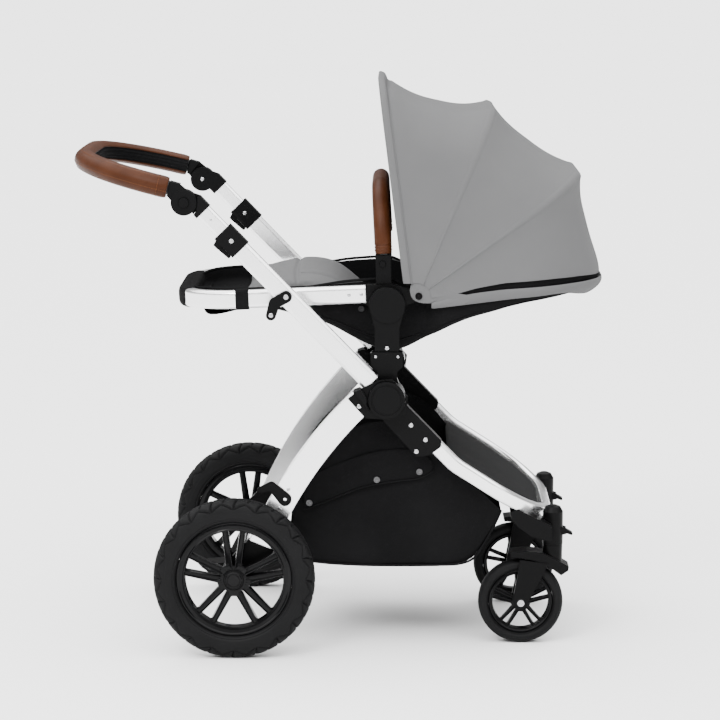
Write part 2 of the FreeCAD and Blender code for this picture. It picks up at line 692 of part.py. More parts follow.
def axle_housings():
    """Plastic foot on each rear leg that holds the axle."""
    body = new_body("axle_housing")
    foot_angle = size("leg_from") + size("leg_sweep")
    outer = leg_point(foot_angle, size("leg_width") / 2 + 2)
    inner = leg_point(foot_angle, -size("leg_width") / 2 - 2)
    near = "Sizes.outer_plane - Sizes.tube_depth / 2"
    pad(body, [outer, ("Sizes.axle_x - 22", "Sizes.rear_radius + 14"),
               ("Sizes.axle_x - 18", "Sizes.rear_radius - 16"), ("Sizes.axle_x", "Sizes.rear_radius - 22"),
               ("Sizes.axle_x + 20", "Sizes.rear_radius - 12"), inner], near, "Sizes.tube_depth + 1")
    pocket(body, (("Sizes.axle_x", "Sizes.rear_radius"), "Sizes.axle_radius"), 215, 60)
    keep_pair(body, "axle_housings")


def transport_hook():
    """Hook on the outer face of the right rear leg that holds the folded frame."""
    body = new_body("transport_hook")
    face = "Sizes.outer_plane + Sizes.tube_depth / 2 + 0.3"
    pad(body, link_outline(((-182, 283), 12), ((-206, 308), 8)), face, 4)
    pad(body, link_outline(((-206, 308), 8), ((-226, 300), 6)), face, 4)
    pocket(body, ((-182, 283), "3 + Sizes.run_fit"), 240, 20)
    keep(body, "transport_hook")


def brake_pedal():
    """Pedal that turns on the cross tube near the right rear wheel."""
    body = new_body("brake_pedal")
    axle = ("Sizes.axle_x", "Sizes.rear_radius")
    pad(body, (axle, "Sizes.axle_radius + 7"), 150, 60)
    pad(body, [("Sizes.axle_x - 6", "Sizes.rear_radius + 13"), ("Sizes.axle_x - 62", "Sizes.rear_radius + 8"),
               ("Sizes.axle_x - 64", "Sizes.rear_radius + 2"), ("Sizes.axle_x - 6", "Sizes.rear_radius - 4")],
        155, 50)
    pocket(body, (axle, "Sizes.axle_radius + Sizes.run_fit"), 140, 80)
    keep(body, "brake_pedal")


# ---------------------------------------------------------------- handle

def octagon(width, depth, chamfer):
    """Tube section in its own plane: width along the first axis, depth along the second."""
    w, d = f"{width} / 2", f"({depth}) / 2"
    return [(f"{w} - {chamfer}", d), (f"-{w} + {chamfer}", d), (f"-{w}", f"{d} - {chamfer}"),
            (f"-{w}", f"-{d} + {chamfer}"), (f"-{w} + {chamfer}", f"-{d}"),
            (f"{w} - {chamfer}", f"-{d}"), (w, f"-{d} + {chamfer}"), (w, f"{d} - {chamfer}")]


def shifted(points, shift):
    return [(x, f"({z}) - ({shift})") for x, z in points]


def lower_handle_tubes():
    body = new_body("lower_handle_tube", HANDLE)
    skin = shifted(octagon("Sizes.lower_width", "Sizes.tube_depth", 5), "Sizes.outer_plane")
    core = shifted(octagon("(Sizes.lower_width - 2 * Sizes.tube_wall)",
                           "Sizes.tube_depth - 2 * Sizes.tube_wall", 4), "Sizes.outer_plane")
    pad(body, skin, "Sizes.lower_start", "Sizes.lower_end - Sizes.lower_start", "XY_Plane")
    pocket(body, core, "Sizes.lower_start - 1", "Sizes.lower_end - Sizes.lower_start + 2", "XY_Plane")
    keep_pair(body, "lower_handle_tubes")


def upper_handle_tubes():
    body = new_body("upper_handle_tube", HANDLE)
    slack = "2 * (Sizes.tube_wall + 0.4)"
    skin = shifted(octagon(f"(Sizes.lower_width - {slack})", f"Sizes.tube_depth - {slack}", 4),
                   "Sizes.outer_plane")
    slack_inside = "2 * (2 * Sizes.tube_wall + 0.4)"
    core = shifted(octagon(f"(Sizes.lower_width - {slack_inside})",
                           f"Sizes.tube_depth - {slack_inside}", 3), "Sizes.outer_plane")
    pad(body, skin, "Sizes.upper_start", "Sizes.upper_end - Sizes.upper_start", "XY_Plane")
    pocket(body, core, "Sizes.upper_start - 1", "Sizes.upper_end - Sizes.upper_start + 2", "XY_Plane")
    keep_pair(body, "upper_handle_tubes")


def handle_castings():
    """Disc that turns on the pivot bolt, with a stub inside the lower tube."""
    body = new_body("handle_casting", HANDLE)
    back = "Sizes.outer_plane - 0.5"
    half = "Sizes.lower_width / 2 - Sizes.tube_wall - Sizes.snug - 4"
    centre = (0, 0)
    pad(body, (centre, "Sizes.disc_radius"), back,
        "Sizes.tube_depth / 2 + Sizes.disc_proud + 0.5")
    fit = "2 * (Sizes.tube_wall + Sizes.snug)"
    stub = octagon(f"(Sizes.lower_width - {fit})", f"Sizes.tube_depth - {fit}", 4)
    pad(body, shifted(stub, "Sizes.outer_plane"), "Sizes.disc_radius + 1.5",
        "Sizes.lower_start + 20.5 - Sizes.disc_radius", "XY_Plane")
    pad(body, [(f"-({half})", 20), (half, 20), (half, "Sizes.disc_radius + 4"),
               (f"-({half})", "Sizes.disc_radius + 4")], back,
        "Sizes.tube_depth / 2 + 0.5 - Sizes.tube_wall - Sizes.snug")
    pocket(body, (centre, "Sizes.bolt_radius + Sizes.run_fit"), 225,
           "Sizes.outer_plane + Sizes.tube_depth / 2 + Sizes.disc_proud - 3 - 225")
    rim_face = "Sizes.outer_plane + Sizes.tube_depth / 2 + Sizes.disc_proud - 1.2"
    groove = body.newObject("PartDesign::Pocket", "disc_ring")
    sketch = new_sketch(body, "XZ_Plane", rim_face)
    add_circle(sketch, centre, "Sizes.disc_radius - 5")
    add_circle(sketch, centre, "Sizes.disc_radius - 8")
    groove.Profile = sketch
    groove.Reversed = True
    groove.Length = 3
    doc.recompute()
    keep_pair(body, "handle_castings")


def tube_clamps():
    """Collar at the top of the lower tube that grips the upper tube."""
    body = new_body("tube_clamp", HANDLE)
    half = "Sizes.lower_width / 2"
    depth = "Sizes.tube_depth / 2"
    w = "Sizes.clamp_wall"
    outer = [(f"{half} + {w}", f"-({depth} + {w})"), (f"{half} + {w}", f"{depth} - 0.5"),
             (f"{half} - 3", f"{depth} + 1.5"), (f"-{half} + 3", f"{depth} + 1.5"),
             (f"-{half} - {w}", f"{depth} - 0.5"), (f"-{half} - {w}", f"-({depth} + {w})")]
    inner = octagon("(Sizes.lower_width + 2 * Sizes.snug)", "Sizes.tube_depth + 2 * Sizes.snug", 5)
    pad(body, shifted(outer, "Sizes.outer_plane"), "Sizes.clamp_start",
        "Sizes.clamp_end - Sizes.clamp_start", "XY_Plane")
    pocket(body, shifted(inner, "Sizes.outer_plane"), "Sizes.clamp_start - 1",
           "Sizes.clamp_end - Sizes.clamp_start + 2", "XY_Plane")
    for near in (-10.5, 7.5):
        root, tip = f"-{half} - {w} + 0.5", f"-{half} - {w} - 9"
        ear = [(root, "Sizes.clamp_end - 18"), (tip, "Sizes.clamp_end - 16"),
               (tip, "Sizes.clamp_end - 6"), (root, "Sizes.clamp_end - 3")]
        pad(body, ear, f"Sizes.outer_plane + {near}", 3)
    keep_pair(body, "tube_clamps")


def clamp_levers():
    """Cam lever between the collar's two ears."""
    body = new_body("clamp_lever", HANDLE)
    outline = link_outline(((-5.2, -11), 4.4), ((-4.2, -40), 2.8))
    anchored = [(f"-Sizes.lower_width / 2 - Sizes.clamp_wall + ({x:.4f})",
                 f"Sizes.clamp_end + ({z:.4f})") for x, z in outline]
    pad(body, anchored, "Sizes.outer_plane - 7", 14)
    keep_sides(body, "clamp_lever")


def fold_latches():
    """Curved lever on the outer face of each lower tube."""
    body = new_body("fold_latch")
    face = "Sizes.outer_plane + Sizes.tube_depth / 2 + 0.3"
    top, knee, low = (-178.5, 649), (-199, 638), (-205.4, 616)
    pad(body, link_outline((top, 10.5), (knee, 10)), face, 6)
    pad(body, link_outline((knee, 10), (low, 9)), face, 6)
    pocket(body, (top, "3 + Sizes.run_fit"), 240, 20)
    keep_sides(body, "fold_latch")


def handle_screws():
    """Screws of the fold latches and of the clamps, seated on the lower tubes and collars."""
    face = size("outer_plane") + size("tube_depth") / 2
    latch = cylinder_y(-178.5, 649, face, 6.8, 3).fuse(screw_head(-178.5, 649, face + 6.8, 4.6))
    turn = math.radians(size("handle_angle"))
    along = (size("clamp_start") + size("clamp_end")) / 2
    clamp = screw_head(-along * math.cos(turn), size("pivot_z") + along * math.sin(turn),
                       face + size("clamp_wall"))
    keep(shaped("latch_screws", both_sides([latch, clamp]), PIVOT_LINE), "handle_screws")


def tilt_housings():
    """Fitting on top of each upper tube, with the inner half of the tilt joint."""
    body = new_body("tilt_housing", HANDLE)
    inner_face = "Sizes.outer_plane - Sizes.tube_depth / 2 - 1"
    split = "Sizes.tilt_split - 0.3"
    centre = ("-Sizes.tilt_drop", "Sizes.tilt_along")
    pad(body, (centre, "Sizes.tilt_radius"), inner_face, f"{split} - ({inner_face})")
    low = "Sizes.upper_end - 10"
    pad(body, [(-16, low), (16, low), (16, "Sizes.upper_end + 14"), (4, "Sizes.tilt_along + 12"),
               (-13, "Sizes.tilt_along"), (-16, "Sizes.upper_end + 12")],
        inner_face, f"{split} - ({inner_face})")
    pad(body, [(-16, low), (16, low), (16, "Sizes.upper_end + 12"), (11, "Sizes.upper_end + 16"),
               (-6, "Sizes.upper_end + 1"), (-16, "Sizes.upper_end - 2")], inner_face,
        "Sizes.tube_depth + 2")
    slack = "2 * (Sizes.tube_wall + 0.4 - Sizes.snug)"
    space = shifted(octagon(f"(Sizes.lower_width - {slack})", f"Sizes.tube_depth - {slack}", 4),
                    "Sizes.outer_plane")
    pocket(body, space, "Sizes.upper_end - 11", 11 + 0.3, "XY_Plane")
    pocket(body, (centre, "Sizes.tilt_radius + 1"), split, 30)
    pad(body, (centre, 7), f"{split} - 2", 6)
    keep_pair(body, "tilt_housings")


def handlebar_knuckles():
    """Outer half of the tilt joint, with the arm that carries the handlebar."""
    body = new_body("handlebar_knuckle", TILT_AXIS)
    face = "Sizes.tilt_split"
    outer = "Sizes.outer_plane + Sizes.tube_depth / 2 + 3"
    pad(body, ((0, 0), "Sizes.tilt_radius"), face, f"{outer} - {face}")
    arm = [(2, 22), (-14, 30), ("-Sizes.bar_start + 1", "Sizes.bar_rise + 13"),
           ("-Sizes.bar_start + 1", "Sizes.bar_rise - 13"), (-22, -2), (-10, 4)]
    pad(body, arm, face, 12)
    pad(body, [(-13, 30.5), ("-Sizes.bar_start + 1", "Sizes.bar_rise + 13"),
               ("-Sizes.bar_start + 1", "Sizes.bar_rise - 13"), (-26, 3)], "Sizes.outer_plane - 12", 24)
    pocket(body, ((0, 0), "7 + Sizes.run_fit"), face + " - 1", "5.5")
    pocket(body, ((0, 0), "Sizes.button_radius + 0.3"), f"{outer} - Sizes.button_travel - 3", 20)
    keep_pair(body, "handlebar_knuckles")


def tilt_buttons():
    body = new_body("tilt_button", TILT_AXIS)
    outer = "Sizes.outer_plane + Sizes.tube_depth / 2 + 3"
    pad(body, ((0, 0), "Sizes.button_radius"), f"{outer} - 2.5", "2.5 + Sizes.button_travel")
    keep_sides(body, "tilt_button")


def handlebar_path(start):
    half = size("outer_plane")
    rise = size("bar_rise")
    reach = size("bar_reach")
    corner = size("bar_corner")
    points = [(-start, -half, rise), (-reach, -half, rise), (-reach, half, rise), (-start, half, rise)]
    return rounded_path(points, [corner, corner])


def handlebar():
    up = V(0, 0, 1)
    start = size("bar_start")
    outer = round_bar(handlebar_path(start), size("bar_diameter"), up)
    inner = round_bar(handlebar_path(start), size("bar_diameter") - 2 * size("tube_wall"), up)
    keep(shaped("handlebar", outer.cut(inner), TILT_AXIS), "handlebar_tube")
    sleeve = round_bar(handlebar_path(start + 1), size("grip_diameter"), up)
    core = round_bar(handlebar_path(start + 1), size("bar_diameter"), up)
    keep(shaped("grip", sleeve.cut(core), TILT_AXIS), "handle_grip")


# ---------------------------------------------------------------- seat

def seat_arms():
    """Arm that drops into the adaptor and carries the recline hub."""
    body = new_body("seat_arm", SEAT)
    near = "Sizes.inner_plane - 9"
    foot = "547 - Sizes.hub_z"
    half = "Sizes.arm_width / 2"
    pad(body, ((0, 0), "Sizes.hub_radius"), near, 21)
    pad(body, [(f"-{half}", foot), (half, foot), (half, "590 - Sizes.hub_z"), (30, -12), (-30, -12),
               (f"-{half}", "590 - Sizes.hub_z")], near, 18)
    pad(body, [(f"-{half} + 8", "523 - Sizes.hub_z"), (f"{half} - 8", "523 - Sizes.hub_z"),
               (f"{half} - 8", f"{foot} + 1"), (f"-{half} + 8", f"{foot} + 1")],
        "Sizes.inner_plane - 6", 12)
    pocket(body, ((0, 0), "8 + Sizes.run_fit"), 195, 26)
    keep_pair(body, "seat_arms")


def seat_hubs():
    """Seat's own half of the recline joint: rail end, bumper socket seat and canopy stud."""
    body = new_body("seat_hub", SEAT)
    near = "Sizes.rail_plane - Sizes.rail_depth / 2"
    depth = "Sizes.inner_plane - 9.4 - Sizes.rail_plane + Sizes.rail_depth / 2"
    canopy = ("Sizes.canopy_x - Sizes.hub_x", "Sizes.canopy_z - Sizes.hub_z")
    pad(body, ((0, 0), "Sizes.hub_radius - 2"), near, depth)
    pad(body, [(-37, 34), (8, 35), (44, 26), (62, 22), (62, 8), (30, -4), (0, -20), (-37, -2)],
        near, depth)
    pad(body, [(-60, 27), (-36, 28), (-36, 4), (-60, 3)], f"{near} + Sizes.tube_wall + 0.8",
        "Sizes.rail_depth - 2 * Sizes.tube_wall - 1.6")
    pad(body, ((0, 0), 8), near, "Sizes.inner_plane + 8 - Sizes.rail_plane + Sizes.rail_depth / 2")
    pad(body, (canopy, 4), near, "Sizes.inner_plane + 2 - Sizes.rail_plane + Sizes.rail_depth / 2")
    keep_pair(body, "seat_hubs")


def rail_path(shrink=0.0):
    start = -38.3
    length = size("rail_length")
    rise = size("rail_rise") + 1
    half = size("rail_plane")
    drop = math.tan(math.radians(size("rail_slope")))
    low = rise - (length + start) * drop
    points = [(start, -half, rise), (-length, -half, low), (-length, half, low), (start, half, rise)]
    return rounded_path(points, [size("rail_corner") + shrink] * 2)


def seat_rail():
    """Flat oval tube from one hub round the foot end to the other."""
    slope = math.radians(size("rail_slope"))
    up = V(-math.sin(slope), 0, math.cos(slope))
    wall = size("tube_wall")
    outer = bar(rail_path(), size("rail_depth"), size("rail_height"), 7, up)
    inner = bar(rail_path(), size("rail_depth") - 2 * wall, size("rail_height") - 2 * wall, 5, up)
    keep(shaped("rail", outer.cut(inner), SEAT), "seat_rail")


def seat_plan(inset):
    """Space inside the rail and, behind the hubs, inside the canopy's hem."""
    foot = -size("rail_length") + size("rail_depth") / 2 + 1.5 + inset
    half = size("shell_half") - inset
    head_half = size("head_half") - inset
    head = size("head_x") - inset
    side = [(foot, half), (74 + inset, half), (86 + inset, head_half), (head, head_half)]
    low = 450
    points = [(foot, 0, low)] + [(x, -y, low) for x, y in side]
    points += [(x, y, low) for x, y in side[::-1]] + [(foot, 0, low)]
    bends = [size("rail_corner") - size("rail_depth") / 2 - inset, 8, 8, size("head_corner") - inset]
    outline = rounded_path(points, bends + bends[::-1])
    solid = Part.Face(outline).extrude(V(0, 0, 300))
    return shaped(f"seat_plan_{round(inset * 10)}", solid, PIVOT_LINE)


def prism(name, outline, half):
    body = new_body(name)
    pad(body, outline, f"-({half})", f"2 * ({half})")
    return body


def common_of(name, first, second):
    result = doc.addObject("Part::Common", name)
    result.Base = first
    result.Tool = second
    return result


def seat_shell():
    """Fabric tub hung in the rail, from the foot end to the head end."""
    outer = [(-352, 646), (-332, 622), (-262, 620), (-167, 610), (-40, 567), (-8, 541), (15, 539),
             (31, 556), (93, 592), (155, 612), (335, 650), (372, 654), (374, 661), (300, 655),
             (90, 643), (52, 648), (10, 672), (-20, 676), (-75, 675), (-140, 662), (-240, 655)]
    inner = [(-347, 660), (-329, 626), (-262, 624), (-166, 614), (-38, 571), (-7, 545), (14, 543),
             (30, 560), (92, 596), (154, 616), (334, 654), (367, 660), (367, 690), (-347, 690)]
    outside = common_of("tub_outside", prism("tub_profile", outer, "Sizes.head_half"), seat_plan(0))
    inside = common_of("tub_inside", prism("tub_space", inner, "Sizes.head_half"),
                       seat_plan(size("shell_wall")))
    keep(cut_of("seat_tub", outside, inside), "seat_shell")


def seat_cushion():
    """Padded liner that follows the tub: leg rest, knee roll, seat and back."""
    outline = [(-333, 642), (-322, 630), (-262, 625), (-166, 615), (-38, 572), (-7, 546), (14, 544),
               (30, 561), (92, 597), (154, 617), (334, 655), (358, 659.5), (352, 668), (320, 672),
               (236, 654), (90, 624), (30, 592), (6, 577), (-20, 598), (-76, 652), (-110, 670),
               (-146, 679), (-200, 668), (-252, 653), (-300, 647)]
    liner = prism("liner_profile", outline, "Sizes.head_half")
    keep(common_of("seat_liner", liner, seat_plan(size("shell_wall") + 2)), "seat_cushion")


def bumper_sockets():
    """Sockets on the rail ends that hold the bumper bar's plugs."""
    body = new_body("bumper_socket")
    x = size("bumper_x")
    half = size("rail_depth") / 2 - 1
    near = "Sizes.rail_plane - Sizes.rail_depth / 2 + 1"
    low = size("hub_z") + 35.2
    plug = size("plug_width") / 2
    pad(body, [(x - 13, low), (x + 14, low), (x + 13, "Sizes.bumper_base - 2"),
               (x - 15, "Sizes.bumper_base - 2")], near, 2 * half)
    pocket(body, [(x + 1.8 - plug - 0.4, "Sizes.bumper_base - Sizes.plug_length - 2"),
                  (x + 1.8 + plug + 0.4, "Sizes.bumper_base - Sizes.plug_length - 2"),
                  (x + plug + 0.4, "Sizes.bumper_base + 5"), (x - plug - 0.4, "Sizes.bumper_base + 5")],
           f"{near} + 3", 2 * half - 6)
    pocket(body, ((x - 2, "Sizes.bumper_base - 18"), 5.8), f"{near} + {2 * half - 2.5}", 5)
    keep_pair(body, "bumper_sockets")


def bumper_path(scale=1.0):
    x = size("bumper_x")
    base, top = size("bumper_base"), size("bumper_top")
    half = size("rail_plane")
    lean = math.tan(math.radians(size("bumper_lean")))
    peak = x - (top - base) * lean
    points = [(x, -half, base), (peak, -half + 9, top), (peak, half - 9, top), (x, half, base)]
    return rounded_path(points, [size("bumper_corner")] * 2)


def bumper():
    """Arched bar with a plug at each end, and its padded cover."""
    lean = math.radians(size("bumper_lean"))
    across = V(math.cos(lean), 0, math.sin(lean))
    core_d = size("bumper_diameter") - 12
    core = round_bar(bumper_path(), core_d, across)
    width = size("plug_width")
    depth = size("rail_depth") - 9
    x = size("bumper_x")
    length = size("plug_length")
    half = size("rail_plane")
    plugs = []
    for side in (-1, 1):
        lower = x + length * math.tan(lean)
        profile = [V(x - width / 2, 0, size("bumper_base") + 1), V(x + width / 2, 0, size("bumper_base") + 1),
                   V(lower + width / 2, 0, size("bumper_base") - length),
                   V(lower - width / 2, 0, size("bumper_base") - length)]
        face = Part.Face(Part.makePolygon(profile + profile[:1]))
        face.translate(V(0, side * half - depth / 2, 0))
        plugs.append(face.extrude(V(0, depth, 0)))
    keep(shaped("bumper", core.fuse(plugs).removeSplitter(), PIVOT_LINE), "bumper_bar")
    sleeve = round_bar(bumper_path(), size("bumper_diameter"), across)
    keep(shaped("bumper_sleeve", sleeve.cut(core), PIVOT_LINE), "bumper_cover")


def bumper_buttons():
    body = new_body("bumper_button")
    face = "Sizes.rail_plane + Sizes.rail_depth / 2 - 1"
    pad(body, ((size("bumper_x") - 2, "Sizes.bumper_base - 18"), 5.5), f"{face} - 0.3", 3.5)
    keep_sides(body, "bumper_button")


# ---------------------------------------------------------------- canopy

def arch_points(half, top_half, reach, low):
    """Arch in its own plane: across the stroller and out from the canopy pivot."""
    return [(-half, low), (-top_half, reach), (top_half, reach), (half, low)]


def in_canopy_plane(angle, shift=0.0):
    """Turn (across, out) of an arch's plane into stroller coordinates."""
    turn = math.radians(angle)
    origin = V(size("canopy_x") - shift, 0, size("canopy_z"))
    out = V(math.cos(turn), 0, math.sin(turn))

    def place(across, reach):
        return origin + out * reach + V(0, across, 0)
    return place


def arch_wire(half, top_half, reach, low, angle, corner, shift=0.0):
    place = in_canopy_plane(angle, shift)
    points = [tuple(place(*p)) for p in arch_points(half, top_half, reach, low)]
    return rounded_path(points, [corner, corner])


BOWS = {
    "rear": ("rear_reach", 2, 0, 3),
    "middle": ("middle_reach", 1, 1, 0),
    "front": ("front_reach", 0, 2, 7),
}


def canopy_bow(name):
    """Flat strip bent to an arch, with an eye at each end on the canopy stud."""
    reach_name, step, layer, drop = BOWS[name]
    angle = size("front_bow") - step * size("bow_step")
    seat_face = size("inner_plane") - 9.4
    thick = size("bow_thick")
    near = seat_face + 0.4 + layer * (thick + 0.6)
    half = near + thick / 2
    inside = size(reach_name) - size("fabric") - size("bow_gap") - drop
    path = arch_wire(half, size("canopy_top_half") - size("fabric") - 5, inside, 6, angle,
                     size("canopy_corner") - 4)
    turn = math.radians(angle)
    normal = V(-math.sin(turn), 0, math.cos(turn))
    strip = bar(path, thick, size("bow_width"), 1.0, normal)
    eyes = [cylinder_y(size("canopy_x"), size("canopy_z"), near, thick, size("bow_width") * 0.9)]
    eyes.append(eyes[0].mirror(V(0, 0, 0), V(0, 1, 0)))
    bore = cylinder_y(size("canopy_x"), size("canopy_z"), -250, 500, 4 + size("run_fit"))
    solid = strip.fuse(eyes).cut(bore)
    keep(shaped(f"{name}_bow", solid, PIVOT_LINE), f"canopy_bow_{name}")


def fabric_band(reach, angle, corner, shift=0.0):
    """Closed outline of the cloth where it crosses one plane through the canopy pivot."""
    thick = size("fabric")
    half, top_half = size("canopy_half"), size("canopy_top_half")
    low = 22
    outer = arch_wire(half, top_half, reach, low, angle, corner, shift)
    inner = arch_wire(half - thick, top_half - thick, reach - thick, low, angle, corner - thick, shift)
    ends = []
    for i in (0, -1):
        ends.append(Part.makeLine(outer.OrderedVertexes[i].Point, inner.OrderedVertexes[i].Point))
    edges = outer.OrderedEdges + [ends[1]] + inner.OrderedEdges[::-1] + [ends[0]]
    return Part.Wire(edges)


def canopy_panel(name, first, second, sag):
    """One gore of the canopy between two bands, drawn in by sag halfway."""
    middle = [(a + b) / 2 for a, b in zip(first, second)]
    middle[0] *= sag
    solid = Part.makeLoft([fabric_band(*band) for band in (first, middle, second)], True, False)
    keep(shaped(name + "_gore", solid, PIVOT_LINE), name)


def canopy():
    for name in BOWS:
        canopy_bow(name)
    middle_angle = size("front_bow") - size("bow_step")
    rear_angle = middle_angle - size("bow_step")
    tail_angle = rear_angle - size("bow_step")
    corner = size("canopy_corner")
    sag = size("sag")
    seam = 0.15
    canopy_panel("canopy_panel_front",
                 (size("front_reach"), size("mouth_angle"), corner, size("mouth_shift")),
                 (size("middle_reach"), middle_angle + seam, corner, 0), sag)
    canopy_panel("canopy_panel_middle", (size("middle_reach"), middle_angle - seam, corner, 0),
                 (size("rear_reach"), rear_angle + seam, corner + 10, 0), sag + 0.03)
    canopy_panel("canopy_panel_rear", (size("rear_reach"), rear_angle - seam, corner + 10, 0),
                 (size("tail_reach"), tail_angle, size("tail_corner"), 0), sag + 0.045)


def build():
    front_leg_frame()
    footwell_panel()
    hinge_castings()
    pivot_bolts()
    seat_adaptors()
    caster_brackets()
    swivel_housings()
    swivel_locks()
    chassis_screws()
    basket()
    caster_forks()
    front_axles()
    front_wheels()
    rear_legs()
    rear_wings()
    rear_axle()
    axle_housings()
    transport_hook()
    brake_pedal()
    rear_wheels()
    lower_handle_tubes()
    handle_castings()
    tube_clamps()
    handle_screws()
    clamp_levers()
    fold_latches()
    upper_handle_tubes()
    tilt_housings()
    handlebar()
    handlebar_knuckles()
    tilt_buttons()
    seat_arms()
    seat_hubs()
    seat_rail()
    seat_shell()
    seat_cushion()
    bumper_sockets()
    bumper()
    bumper_buttons()
    canopy()


build()
doc.recompute()

for obj in doc.Objects:
    if "Invalid" in obj.State or "Error" in obj.State:
        raise RuntimeError(f"{obj.Name} ({obj.Label}) failed: {obj.State}")
for node, obj in nodes.items():
    if obj.Shape.isNull() or not obj.Shape.isValid():
        raise RuntimeError(f"{node} has no valid shape")
for node, obj in nodes.items():
    obj.Shape.exportStep(f"parts/{node}.step")
print(len(nodes), "nodes written")
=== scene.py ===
import json
import math

import bmesh
import bpy
import numpy as np
from mathutils import Matrix, Vector


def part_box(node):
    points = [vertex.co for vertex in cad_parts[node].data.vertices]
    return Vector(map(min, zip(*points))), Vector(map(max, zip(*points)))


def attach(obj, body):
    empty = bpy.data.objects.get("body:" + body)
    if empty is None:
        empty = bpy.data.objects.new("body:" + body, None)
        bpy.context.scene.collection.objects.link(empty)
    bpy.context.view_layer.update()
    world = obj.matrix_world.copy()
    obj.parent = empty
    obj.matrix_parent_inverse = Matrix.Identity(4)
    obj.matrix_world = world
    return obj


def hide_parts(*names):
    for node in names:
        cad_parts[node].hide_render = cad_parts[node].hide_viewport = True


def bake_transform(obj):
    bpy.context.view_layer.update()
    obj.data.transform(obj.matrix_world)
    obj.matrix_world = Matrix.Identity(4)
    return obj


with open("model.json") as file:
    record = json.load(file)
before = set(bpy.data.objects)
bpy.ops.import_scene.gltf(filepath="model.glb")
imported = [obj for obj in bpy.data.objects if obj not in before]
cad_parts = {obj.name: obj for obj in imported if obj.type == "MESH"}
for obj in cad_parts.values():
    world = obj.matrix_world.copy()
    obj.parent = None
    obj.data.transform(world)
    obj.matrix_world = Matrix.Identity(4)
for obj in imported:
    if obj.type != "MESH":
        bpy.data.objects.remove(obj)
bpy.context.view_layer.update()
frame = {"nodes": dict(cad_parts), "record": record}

# Baby stroller, +X forward, Z up, its right-hand side at -Y. Metres, as the frame is.
nodes = frame["nodes"]
bpy.ops.object.select_all(action="DESELECT")


def middleOf(node):
    low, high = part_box(node)
    return (low + high) / 2


foldPivot = middleOf("pivot_bolts")


def spot(x, y, z):
    # millimetres: ahead of the fold pivot, across, above the floor
    return Vector((foldPivot.x + x / 1000, y / 1000, z / 1000))


# finishes

class Wire:
    # one socket, so that shader sums can be written as sums
    def __init__(self, board, socket):
        self.board = board
        self.socket = socket

    def combined(self, kind, first, second):
        return self.board.node("ShaderNodeMath", {"operation": kind}, {0: first, 1: second})

    def __add__(self, other):
        return self.combined("ADD", self, other)

    def __sub__(self, other):
        return self.combined("SUBTRACT", self, other)

    def __rsub__(self, other):
        return self.combined("SUBTRACT", other, self)

    def __mul__(self, other):
        return self.combined("MULTIPLY", self, other)

    __radd__ = __add__
    __rmul__ = __mul__


class Finish:
    def __init__(self, name, **fixed):
        self.material = bpy.data.materials.new(name)
        self.material.use_nodes = True
        self.tree = self.material.node_tree
        self.shader = self.tree.nodes["Principled BSDF"]
        for socket, value in fixed.items():
            self.shader.inputs[socket.replace("_", " ")].default_value = value

    def node(self, kind, settings=None, values=None, output=0):
        made = self.tree.nodes.new(kind)
        for key, value in (settings or {}).items():
            setattr(made, key, value)
        for key, value in (values or {}).items():
            if isinstance(value, Wire):
                self.tree.links.new(value.socket, made.inputs[key])
            else:
                made.inputs[key].default_value = value
        return Wire(self, made.outputs[output])

    def feed(self, socket, wire):
        self.tree.links.new(wire.socket, self.shader.inputs[socket])

    def place(self, uv=False):
        return self.node("ShaderNodeTexCoord", output=2 if uv else 3)

    def noise(self, scale, detail=3, place=None, rough=0.55):
        return self.node("ShaderNodeTexNoise", None, {
            "Vector": place or self.place(), "Scale": scale, "Detail": detail, "Roughness": rough})

    def blendColours(self, mask, first, second):
        return self.node("ShaderNodeMix", {"data_type": "RGBA"},
                         {0: mask, 6: (*first, 1), 7: (*second, 1)}, output=2)

    def bump(self, height, depth, strength=1.0, normal=None):
        values = {"Height": height, "Distance": depth, "Strength": strength}
        if normal:
            values["Normal"] = normal
        return self.node("ShaderNodeBump", None, values)

    def ramp(self, wire, low, high):
        return self.node("ShaderNodeMapRange", {"clamp": True},
                         {"Value": wire, "From Min": low, "From Max": high})


def weave(finish, pitch, uv=True):
    # plain weave: threads pass over and under one another
    axes = finish.node("ShaderNodeSeparateXYZ", None, {0: finish.place(uv)})
    turn = 2 * math.pi / pitch
    u, v, w = (Wire(finish, axes.socket.node.outputs[k]) for k in range(3))
    if not uv:
        u, v = u + w * 0.61, v + w * 0.37
    wave = [finish.node("ShaderNodeMath", {"operation": "SINE"}, {0: axis * turn})
            for axis in (u, v)]
    return wave[0] * wave[1] * 0.5 + 0.5


clothLooks = {
    "grey": dict(light=(0.101, 0.101, 0.102), dark=(0.090, 0.090, 0.092), rough=0.86, pitch=0.0011,
                 depth=0.00022, sheen=0.02),
    "black": dict(light=(0.0064, 0.0064, 0.0067), dark=(0.0034, 0.0034, 0.0036), rough=0.85,
                  pitch=0.0013, depth=0.0003, sheen=0.0, ripple=0.004),
    "charcoal": dict(light=(0.0155, 0.0155, 0.0158), dark=(0.0125, 0.0125, 0.0128), rough=0.8,
                     pitch=0.0012, depth=0.00015, sheen=0.0),
}


